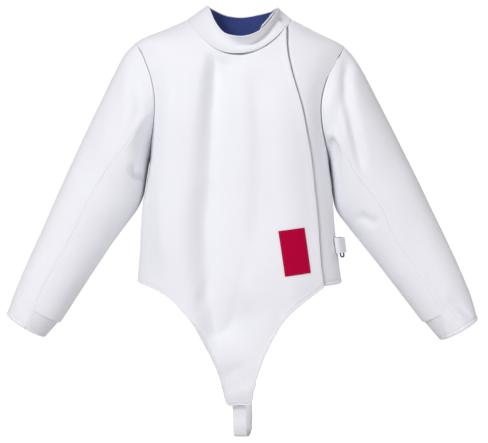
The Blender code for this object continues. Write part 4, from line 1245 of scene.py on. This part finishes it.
SLEEVE_NAMES = ("station", "outer_x", "outer_z", "inner_x", "inner_z", "twist")


@dataclass(frozen=True)
class SleeveForm:
    """One sleeve as ellipses at stations from the armhole (0) to the cuff's edge (12)."""

    side: Side
    front_seam: int
    line: Table
    sections: Table = Table(
        ("station", "right_depth", "left_depth", "middle_y", "armhole_share"),
        (
            (0, 72.0, 72.0, 0.0, 1.0),
            (1, 86.0, 81.0, 0.0, 0.74),
            (2, 91.0, 84.0, 0.0, 0.5),
            (3, 86.0, 80.0, -1.0, 0.28),
            (4, 78.0, 74.0, -2.0, 0.12),
            (5, 65.0, 65.0, -3.0, 0.03),
            (6, 60.0, 60.0, -4.0, 0.0),
            (7, 55.0, 55.0, -5.0, 0.0),
            (8, 51.0, 51.0, -6.0, 0.0),
            (9, 48.0, 48.0, -8.0, 0.0),
            (10, 45.0, 45.0, -10.0, 0.0),
            (11, 42.0, 42.0, -12.0, 0.0),
            (12, 38.0, 38.0, -13.0, 0.0),
        ),
    )
    form: JacketForm = field(default_factory=JacketForm)

    def ellipses(self, stations: Array, around: Array) -> Array:
        """Points of the plain ellipses. Angle 0 is outermost, 90 in front and 180 innermost."""
        station = np.asarray(stations, float)[:, None]
        outer_x, outer_z, inner_x, inner_z, twist = (self.line.read(name, station) for name in SLEEVE_NAMES[1:])
        turned = np.asarray(around, float)[None]
        peak = np.log(0.5) / np.log(self.front_seam / 180)
        angle = np.radians(turned + twist * np.sin(np.pi * np.clip(turned / 180, 0, 1) ** peak))
        x = (outer_x + inner_x) / 2 + np.cos(angle) * (outer_x - inner_x) / 2
        z = (outer_z + inner_z) / 2 + np.cos(angle) * (outer_z - inner_z) / 2
        depth = self.sections.read(f"{self.side.word}_depth", station)
        y = self.sections.read("middle_y", station) - np.sin(angle) * depth
        return np.stack([x * self.side.value, y, z], axis=-1)

    def points(self, stations: Array, around: Array) -> Array:
        """Points of the outside: the ellipses, drawn out to the armhole near the top."""
        share = self.sections.read("armhole_share", np.asarray(stations, float))[:, None, None]
        around = np.asarray(around, float) % 360
        seam = self.form.armhole_point(around, self.side)
        return self.ellipses(stations, around) + share * (seam - self.ellipses([0.0], around)[0])


SLEEVE_FORMS = {
    Side.RIGHT: SleeveForm(
        Side.RIGHT,
        105,
        Table(
            SLEEVE_NAMES,
            (
                (0, 207.0, -50.0, 178.0, -280.0, 0.0),
                (1, 228.6, -72.0, 182.0, -292.0, -2.0),
                (2, 248.0, -107.0, 184.8, -308.0, -4.0),
                (3, 269.5, -150.0, 188.2, -328.0, -6.0),
                (4, 295.3, -202.0, 192.8, -352.0, -13.0),
                (5, 324.0, -262.0, 205.8, -380.0, -18.0),
                (6, 351.3, -322.0, 227.8, -410.0, -20.0),
                (7, 374.7, -375.0, 252.2, -443.0, -17.0),
                (8, 394.1, -420.0, 277.0, -480.0, -18.0),
                (9, 415.3, -467.0, 304.7, -522.0, -18.0),
                (10, 433.0, -508.0, 331.7, -564.0, -18.0),
                (11, 449.5, -550.0, 358.0, -604.0, -15.0),
                (12, 462.4, -587.0, 385.0, -635.0, -10.0),
            ),
        ),
    ),
    Side.LEFT: SleeveForm(
        Side.LEFT,
        135,
        Table(
            SLEEVE_NAMES,
            (
                (0, 207.0, -50.0, 178.0, -280.0, 0.0),
                (1, 225.8, -72.0, 179.8, -292.0, -14.0),
                (2, 247.0, -107.0, 181.4, -308.0, -18.0),
                (3, 268.9, -150.0, 183.4, -328.0, -21.0),
                (4, 295.5, -202.0, 185.6, -352.0, -25.0),
                (5, 325.6, -262.0, 192.6, -381.0, -31.0),
                (6, 355.2, -322.0, 213.4, -410.0, -36.0),
                (7, 380.2, -375.0, 239.3, -443.0, -31.0),
                (8, 401.9, -420.0, 268.9, -480.0, -29.0),
                (9, 423.9, -467.0, 302.1, -523.0, -31.0),
                (10, 441.7, -508.0, 333.7, -564.0, -28.0),
                (11, 458.3, -550.0, 363.4, -603.0, -23.0),
                (12, 471.5, -597.0, 395.0, -640.0, -3.0),
            ),
        ),
    ),
}


@dataclass
class SleevePiece(ClothPiece):
    """A piece of a sleeve, between two stations and two angles round it."""

    side: Side = Side.RIGHT
    stations: tuple[float, float] = (0.0, 12.0)
    upper: bool = True
    back_seam: int = 270
    pinch: float = 0.0
    step: float = 3.0
    base_rows: int = 150

    def angles(self) -> tuple[float, float]:
        """Where round the sleeve the piece starts and ends, in degrees."""
        front = SLEEVE_FORMS[self.side].front_seam
        return (self.back_seam - 360, front) if self.upper else (front, self.back_seam)

    def surface(self) -> Array:
        """The piece's part of the sleeve, with its folds where it faces forwards."""
        first, last = self.angles()
        around = np.linspace(first, last, int((last - first) / self.step) + 1)
        stations = np.linspace(*self.stations, self.base_rows)
        points = SLEEVE_FORMS[self.side].points(stations, around)
        if self.side is Side.LEFT:
            points = points[:, ::-1]
        normal = grid_normals(points)
        face = Face.LEFT_SLEEVE if self.side is Side.LEFT else Face.RIGHT_SLEEVE
        rise = self.creases.rise(face, points) * ease(-normal[..., 1], 0.1, 0.5)
        down, over = (np.linspace(0, 1, count) for count in points.shape[:2])
        calm = ease(stations, 0.0, 0.6)[:, None] * (ease(over, 0, 0.06) * ease(1 - over, 0, 0.06))
        rise = rise * calm - self.pinch * (1 - (2 * over - 1) ** 2)[None] * np.ones_like(down)[:, None]
        return points + normal * rise[..., None]


@dataclass(frozen=True)
class CollarForm:
    """The collar's plain surface, from the neckline up to a top edge that is an ellipse in plan."""

    middle_x: float = 3.0
    half_right: float = 67.0
    half_left: float = 72.0
    front_y: float = 88.0
    back_y: float = 75.0
    top: Table = Table(
        ("angle", "z"),
        (
            (-95.0, 30.0),
            (-80.0, 26.0),
            (-70.0, 20.5),
            (-60.0, 8.6),
            (-50.0, -8.6),
            (-40.0, -24.0),
            (-30.0, -37.0),
            (-20.0, -43.5),
            (-10.0, -46.3),
            (0.0, -46.9),
            (10.0, -43.6),
            (20.0, -36.8),
            (30.0, -26.5),
            (40.0, -13.0),
            (50.0, 0.4),
            (60.0, 10.4),
            (70.0, 16.9),
            (80.0, 22.0),
            (90.0, 25.5),
            (120.0, 25.8),
            (150.0, 23.5),
            (180.0, 19.7),
            (205.0, 21.5),
            (237.0, 28.5),
            (265.0, 30.0),
        ),
    )
    hollow: float = 4.5
    deeper: float = 11.5
    deeper_at: tuple[float, float] = (-30.0, 15.0)
    hollow_power: float = 0.95
    lean: float = 5.0
    lean_more: float = 7.0
    lip: float = 4.5
    wall: float = 3.0
    proud: float = 0.8
    over_lift: float = 5.2
    rise_at: tuple[float, float] = (-30.0, 15.0)
    sink_at: tuple[float, float] = (255.0, 285.0)
    form: JacketForm = field(default_factory=JacketForm)

    def surface(self, angles: Array, heights: Array) -> Array:
        """Points on straight lines from the neckline to the top edge, hollowed midway in front, where the top leans out.

        Args:
            angles: angles round the neck for each point of the grid, in degrees.
            heights: shares of the way up, for each point of the grid.

        Returns:
            The points.
        """
        base = self.form.point(*self.form.neckline(angles))
        angle = np.radians(angles)
        across, forward = np.sin(angle), np.cos(angle)
        half = np.where(across >= 0, self.half_left, self.half_right)
        depth = np.where(forward >= 0, self.front_y, self.back_y)
        height = self.top.read("z", np.mod(angles + 95.0, 360.0) - 95.0)
        top = np.stack([self.middle_x + half * across, -depth * forward, height], axis=-1)
        outward = np.stack([across, -forward, np.zeros_like(across)], axis=-1)
        front_left = ease(np.mod(angles + 95.0, 360.0) - 95.0, *self.deeper_at)
        lean, hollow = self.lean + self.lean_more * front_left, self.hollow + self.deeper * front_left
        shape = lean * heights**3 - hollow * np.sin(np.pi * heights**self.hollow_power)
        shape += self.lip * (1 - heights) ** 6
        return base + (top - base) * heights[..., None] + outward * (shape * np.clip(forward, 0, 1))[..., None]

    def level(self, angles: Array) -> Array:
        """How far the outside stands off the plain surface: lifted at the outer end, flush at the other."""
        over = self.proud + (self.over_lift - self.proud) * ease(angles, *self.rise_at)
        return over - self.proud * ease(-angles, *self.sink_at)


@dataclass
class Collar(ClothPiece):
    """The stand collar, one band from its under end right round the neck to its outer end on the flap."""

    band: CollarForm = field(default_factory=CollarForm)
    outer_end: tuple[float, float] = (58.5, 60.5)
    under_end: float = -330.0
    columns: int = 260
    rows: int = 25
    inside: float = 0.0
    top_share: float = 1.0
    low_share: float = 0.0

    def surface(self) -> Array:
        """The band's outside, with its ends slanting and its face a little padded."""
        heights = np.linspace(self.top_share, self.low_share, self.rows)[:, None]
        share = np.linspace(0, 1, self.columns)[None]
        end = self.outer_end[0] + (self.outer_end[1] - self.outer_end[0]) * heights
        angles = self.under_end + (end - self.under_end) * share
        heights = np.broadcast_to(heights, angles.shape)
        points = self.band.surface(angles, heights)
        level = self.band.level(angles) - self.inside
        return points + grid_normals(points) * level[..., None]


@dataclass
class Ribbon(ClothPiece):
    """A narrow woven strip that follows a route."""

    width: float = 26.0

    @staticmethod
    def route(points: Array, samples: int) -> Array:
        """Evenly spaced points on a smooth curve through a route's own points."""
        lengths = np.concatenate([[0], np.cumsum(np.linalg.norm(np.diff(points, axis=0), axis=1))])
        at = np.linspace(0, lengths[-1], samples)
        return np.stack([smooth_curve(lengths, points[:, axis], at) for axis in range(points.shape[1])], axis=-1)


@dataclass
class CrotchStrap(Ribbon):
    """Ribbed elastic from the tail's end, round below in a loop and up to the back hem."""

    stops: tuple[tuple[float, float, float], ...] = (
        (-1.5, -72.1, -736.0),
        (-1.5, -63.9, -756.0),
        (-1.0, -58.0, -780.0),
        (-0.5, -55.0, -806.0),
        (1.0, -47.0, -821.0),
        (5.0, -32.0, -826.0),
        (10.0, -16.0, -818.0),
        (12.0, -4.0, -797.0),
        (10.0, 12.0, -750.0),
        (4.0, 42.0, -668.0),
        (-1.0, 74.0, -585.0),
        (-4.0, 96.5, -522.0),
        (-4.0, 96.0, -496.0),
    )
    samples: int = 160

    def surface(self) -> Array:
        """The strip's outside, flat across x."""
        route = self.route(np.array(self.stops), self.samples)
        across = np.linspace(-0.5, 0.5, 15)[None, :, None] * self.width * np.array([1.0, 0.0, 0.0])
        out = unit(np.cross(np.gradient(route, axis=0), [1.0, 0.0, 0.0]))
        return route[:, None] + across + out[:, None] * self.thickness / 2


@dataclass
class WaistTab(Ribbon):
    """Webbing on the wearer's left side, folded forwards round the slider."""

    stops: tuple[tuple[float, float], ...] = (
        (128.0, 1.6),
        (112.0, 1.7),
        (98.0, 1.8),
        (84.0, 1.9),
        (74.0, 2.3),
        (67.5, 4.5),
        (65.5, 8.5),
        (67.5, 13.0),
        (73.0, 16.0),
        (82.0, 17.5),
        (92.0, 16.5),
        (102.0, 12.0),
        (112.0, 7.5),
        (120.0, 4.8),
        (128.0, 4.0),
    )
    middle_z: float = -451.0
    samples: int = 150

    def surface(self) -> Array:
        """The strip's outside: turns and lifts off the body, read smoothly along the route."""
        known = np.arange(len(self.stops))
        at = np.linspace(0, len(self.stops) - 1, self.samples)
        turn, lift = (smooth_curve(known, np.array(self.stops)[:, axis], at) for axis in (0, 1))
        turn = np.radians(turn)[None]
        z = self.middle_z + np.linspace(0.5, -0.5, 15)[:, None] * self.width + 0 * turn
        turn = turn + 0 * z
        points = self.form.point(z, turn) + self.form.normal(z, turn) * lift[None, :, None]
        along = np.gradient(points, axis=1)
        out = unit(np.stack([along[..., 1], -along[..., 0], np.zeros_like(z)], axis=-1))
        return points + out * self.thickness / 2


@dataclass
class HipPatch(ClothPiece):
    """The plain crimson patch near the hip."""

    middle: tuple[float, float] = (102.6, -461.6)
    size: tuple[float, float] = (48.0, 88.0)
    tilt: float = 8.0
    proud: float = 1.5

    def surface(self) -> Array:
        """The front's own points under the patch, moved out."""
        tilt = np.radians(self.tilt)
        u = np.linspace(-0.5, 0.5, 25)[None] * self.size[0]
        v = np.linspace(0.5, -0.5, 45)[:, None] * self.size[1]
        x = self.middle[0] + u * np.cos(tilt) - v * np.sin(tilt)
        z = self.middle[1] + u * np.sin(tilt) + v * np.cos(tilt)
        turn = self.form.turn_at(x, z)
        base = self.form.point(z, turn)
        rise = self.form.flap_lift(x, z) + self.form.full_front(x, z) + self.proud
        rise += self.creases.rise(Face.FRONT, base)
        return base + self.form.normal(z, turn) * rise[..., None]


@dataclass
class WaistSlider:
    """The wire ring inside the folded tab."""

    middle: tuple[float, float, float] = (199.2, -35.2, -453.5)
    length: float = 41.0
    width: float = 14.0
    corner: float = 4.0
    radius: float = 1.5
    turn: float = 50.0
    tilt: float = 8.0

    def build(self, wardrobe: Wardrobe) -> bpy.types.Object:
        """Sweeps a round wire along a rectangle with rounded corners."""
        turn, tilt = np.radians(self.turn), np.radians(self.tilt)
        wide = np.array([np.cos(turn), np.sin(turn), 0.0])
        tall = np.array([-np.sin(tilt), 0.0, np.cos(tilt)])
        half = np.array([self.width, self.length]) / 2 - self.radius - self.corner
        signs = np.repeat(np.array([(1, 1), (-1, 1), (-1, -1), (1, -1)]), 8, axis=0)
        angle = np.radians(np.repeat(np.arange(4) * 90.0, 8) + np.tile(np.linspace(0, 90, 8), 4))
        flat = signs * half + self.corner * np.stack([np.cos(angle), np.sin(angle)], axis=-1)
        path = np.array(self.middle) + flat[:, :1] * wide + flat[:, 1:] * tall
        outward = unit(np.cos(angle)[:, None] * wide + np.sin(angle)[:, None] * tall)
        through = unit(np.cross(wide, tall))
        round_wire = np.linspace(0, 2 * np.pi, 14, endpoint=False)
        ring = np.cos(round_wire)[None, :, None] * outward[:, None] + np.sin(round_wire)[None, :, None] * through
        points = path[:, None] + ring * self.radius
        count, sides = points.shape[:2]
        index = np.arange(count * sides).reshape(count, sides)
        ahead, beside = np.roll(index, -1, axis=0), np.roll(index, -1, axis=1)
        faces = np.stack([index, ahead, np.roll(ahead, -1, axis=1), beside], axis=-1).reshape(-1, 4)
        obj = mesh_object("dressed_waist_slider", points.reshape(-1, 3) * MM, faces, wardrobe.get("enamel"))
        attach(obj, "root")
        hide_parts("waist_slider")
        LOG.info("%s: %d faces", obj.name, len(obj.data.polygons))
        return obj


@dataclass
class Lamp:
    """A soft area light that looks at a point."""

    name: str
    place: tuple[float, float, float]
    size: float
    power: float
    color: tuple[float, float, float] = (1.0, 1.0, 1.0)

    def light(self, target: tuple[float, float, float]) -> None:
        """Adds the light to the scene."""
        data = bpy.data.lights.new(self.name, "AREA")
        data.shape = "DISK"
        data.size = self.size
        data.energy = self.power
        data.color = self.color
        obj = bpy.data.objects.new(self.name, data)
        way = np.array(self.place) - np.array(target)
        obj.location = self.place
        obj.rotation_euler = (np.arccos(way[2] / np.linalg.norm(way)), 0.0, np.arctan2(way[0], -way[1]))
        bpy.context.scene.collection.objects.link(obj)


@dataclass
class Studio:
    """Pale floor, soft light and the photograph's camera."""

    target: tuple[float, float, float] = (0.0, 0.0, -0.4)
    camera_place: tuple[float, float, float] = (0.008, -2.2, -0.403)
    lens: float = 81.15
    sensor: float = 36.0
    floor_z: float = -1.45
    floor_size: float = 30.0
    ambient: float = 0.27
    backdrop: float = 1.05
    floor_glow: float = 0.8
    lamps: tuple[Lamp, ...] = (
        Lamp("key", (-2.7, -4.1, 2.7), 1.8, 206.0, (0.99, 0.985, 1.0)),
        Lamp("fill", (3.9, -4.1, 0.2), 3.0, 74.0),
        Lamp("rear", (1.5, 5.0, 2.4), 3.0, 95.0),
    )

    def build(self) -> None:
        """Makes the floor, lights, world and camera."""
        half = self.floor_size / 2
        corners = np.array([(-half, -half), (half, -half), (half, half), (-half, half)])
        points = np.concatenate([corners, np.full((4, 1), self.floor_z)], axis=1)
        material = bpy.data.materials.new("floor")
        material.use_nodes = True
        shader = material.node_tree.nodes["Principled BSDF"]
        shader.inputs["Base Color"].default_value = (0.75, 0.75, 0.75, 1.0)
        shader.inputs["Roughness"].default_value = 0.9
        build = NodeBuilder(material.node_tree)
        seen = build.add("ShaderNodeLightPath").outputs["Is Camera Ray"]
        shader.inputs["Emission Color"].default_value = (1.0, 1.0, 1.0, 1.0)
        build.link(build.math("MULTIPLY", seen, self.floor_glow), shader.inputs["Emission Strength"])
        mesh_object("floor", points, np.arange(4)[None], material)
        for lamp in self.lamps:
            lamp.light(self.target)
        self.world()
        data = bpy.data.cameras.new("camera")
        data.lens = self.lens
        data.sensor_width = self.sensor
        data.clip_end = 200.0
        camera = bpy.data.objects.new("camera", data)
        camera.location = self.camera_place
        camera.rotation_euler = (np.pi / 2, 0.0, 0.0)
        bpy.context.scene.collection.objects.link(camera)
        bpy.context.scene.camera = camera
        bpy.context.scene.view_settings.view_transform = "Standard"

    def world(self) -> None:
        """A white backdrop that lights the jacket less than it shows."""
        world = bpy.data.worlds.new("studio")
        bpy.context.scene.world = world
        world.use_nodes = True
        build = NodeBuilder(world.node_tree)
        sky = world.node_tree.nodes["Background"]
        seen = build.add("ShaderNodeLightPath").outputs["Is Camera Ray"]
        sky.inputs["Color"].default_value = (1.0, 1.0, 1.0, 1.0)
        strength = build.math("ADD", build.math("MULTIPLY", seen, self.backdrop - self.ambient), self.ambient)
        build.link(strength, sky.inputs["Strength"])


def body_pieces() -> list[ClothPiece]:
    """The body's three panels."""
    return [
        FrontMain(
            "front_main", "cloth", "cloth", (0.47, 0.77), 0.217, "hung", ("dressed_collar",), (170, 110),
            {Edge.TOP: Finish.DEEP_SEAM, Edge.START: Finish.SOFT_SEAM, Edge.END: Finish.FLAP, Edge.BOTTOM: Finish.NARROW_HEM},
        ),
        FrontUnder(
            "front_under", "cloth", "cloth", (0.18, 0.56), 0.0725, "hung", ("dressed_collar",), (120, 44),
            {Edge.TOP: Finish.DEEP_SEAM, Edge.START: Finish.FREE, Edge.END: Finish.DEEP_SEAM, Edge.BOTTOM: Finish.HEM},
            face=Face.UNDER, over=6,
        ),
        Back(
            "back", "cloth", "cloth", (0.51, 0.55), 0.234, "hung", ("dressed_collar",), (120, 130),
            {Edge.TOP: Finish.SEAM, Edge.START: Finish.SEAM, Edge.END: Finish.SEAM, Edge.BOTTOM: Finish.HEM},
            face=Face.BACK, behind=True,
        ),
    ]


Cut = tuple[tuple[float, float], float]
SLEEVE_CUTS: dict[Side, tuple[Cut, Cut, Cut]] = {
    Side.RIGHT: (((0.36, 0.61), 0.1265), ((0.275, 0.49), 0.085), ((0.14, 0.042), 0.0053)),
    Side.LEFT: (((0.40, 0.61), 0.1415), ((0.25, 0.49), 0.077), ((0.125, 0.05), 0.0052)),
}


def sleeve_pieces() -> list[ClothPiece]:
    """Both sleeves: upper piece, under piece and elastic band."""
    pieces: list[ClothPiece] = []
    for side in Side:
        upper, under, band = SLEEVE_CUTS[side]
        top = Finish.SEWN_SEAM if side is Side.LEFT else Finish.SOFT_SEAM
        seams = {Edge.START: Finish.SEAM, Edge.END: Finish.SEAM}
        name = f"sleeve_{side.word}"
        pieces.append(
            SleevePiece(
                f"{name}_upper", "cloth", "cloth", *upper, "hung", ("dressed_back",), (150, 60),
                {Edge.TOP: top, **seams, Edge.BOTTOM: Finish.HEM}, side=side,
            )
        )
        pieces.append(
            SleevePiece(
                f"{name}_under", "cloth", "cloth", *under, "hung", ("dressed_back",), (120, 44),
                {Edge.TOP: Finish.SEAM, **seams, Edge.BOTTOM: Finish.SEAM}, side=side, upper=False,
                stations=(0.0, 11.0),
            )
        )
        pieces.append(
            SleevePiece(
                f"cuff_band_{side.word}", "elastic", "knit", *band, "stretched",
                (f"dressed_{name}_under",), (12, 30), {Edge.TOP: Finish.SEAM, **seams, Edge.BOTTOM: Finish.FREE},
                side=side, upper=False, stations=(11.0, 12.0), pinch=4.0, base_rows=24,
            )
        )
    return pieces


def small_pieces() -> list[ClothPiece]:
    """The collar, its lining, the strap, the tab and the patch."""
    return [
        Collar(
            "collar", "collar_cloth", "collar", (0.74, 0.06), 0.029, "folded", ("dressed_back",), (14, 220),
            {Edge.TOP: Finish.COLLAR_EDGE, Edge.START: Finish.COLLAR_EDGE, Edge.END: Finish.COLLAR_EDGE,
             Edge.BOTTOM: Finish.COLLAR_SEAM}, thickness=3.0,
        ),
        Collar(
            "collar_lining", "lining", "lining", (0.60, 0.055), 0.0215, "laid", ("dressed_collar",), (14, 180),
            {}, thickness=0.8, outer_end=(7.5, 7.5), inside=3.5, top_share=0.97, low_share=0.08,
        ),
        CrotchStrap(
            "crotch_strap", "elastic", "elastic", (0.026, 0.47), 0.0122, "hung",
            ("dressed_front_main", "dressed_back"), (220, 8),
            {Edge.START: Finish.RIBBON, Edge.END: Finish.RIBBON}, thickness=1.4,
        ),
        WaistTab(
            "waist_tab", "webbing", "webbing", (0.03, 0.273), 0.0081, "folded", ("dressed_back",), (8, 140),
            {Edge.TOP: Finish.RIBBON, Edge.BOTTOM: Finish.RIBBON}, width=30.0, thickness=1.4,
        ),
        HipPatch(
            "hip_patch", "patch", "patch", (0.052, 0.088), 0.0045, "laid", ("dressed_front_main",), (30, 18),
            {edge: Finish.SEWN_RIBBON for edge in Edge}, thickness=1.0, thread="red_thread",
        ),
    ]


def main() -> None:
    """Builds the jacket's pieces in order, then the studio."""
    logging.basicConfig(level=logging.INFO, format="%(name)s: %(message)s")
    wardrobe = Wardrobe()
    for piece in [*body_pieces(), *sleeve_pieces(), *small_pieces()]:
        piece.build(wardrobe)
    WaistSlider().build(wardrobe)
    Studio().build()


if __name__ == "__main__":
    main()
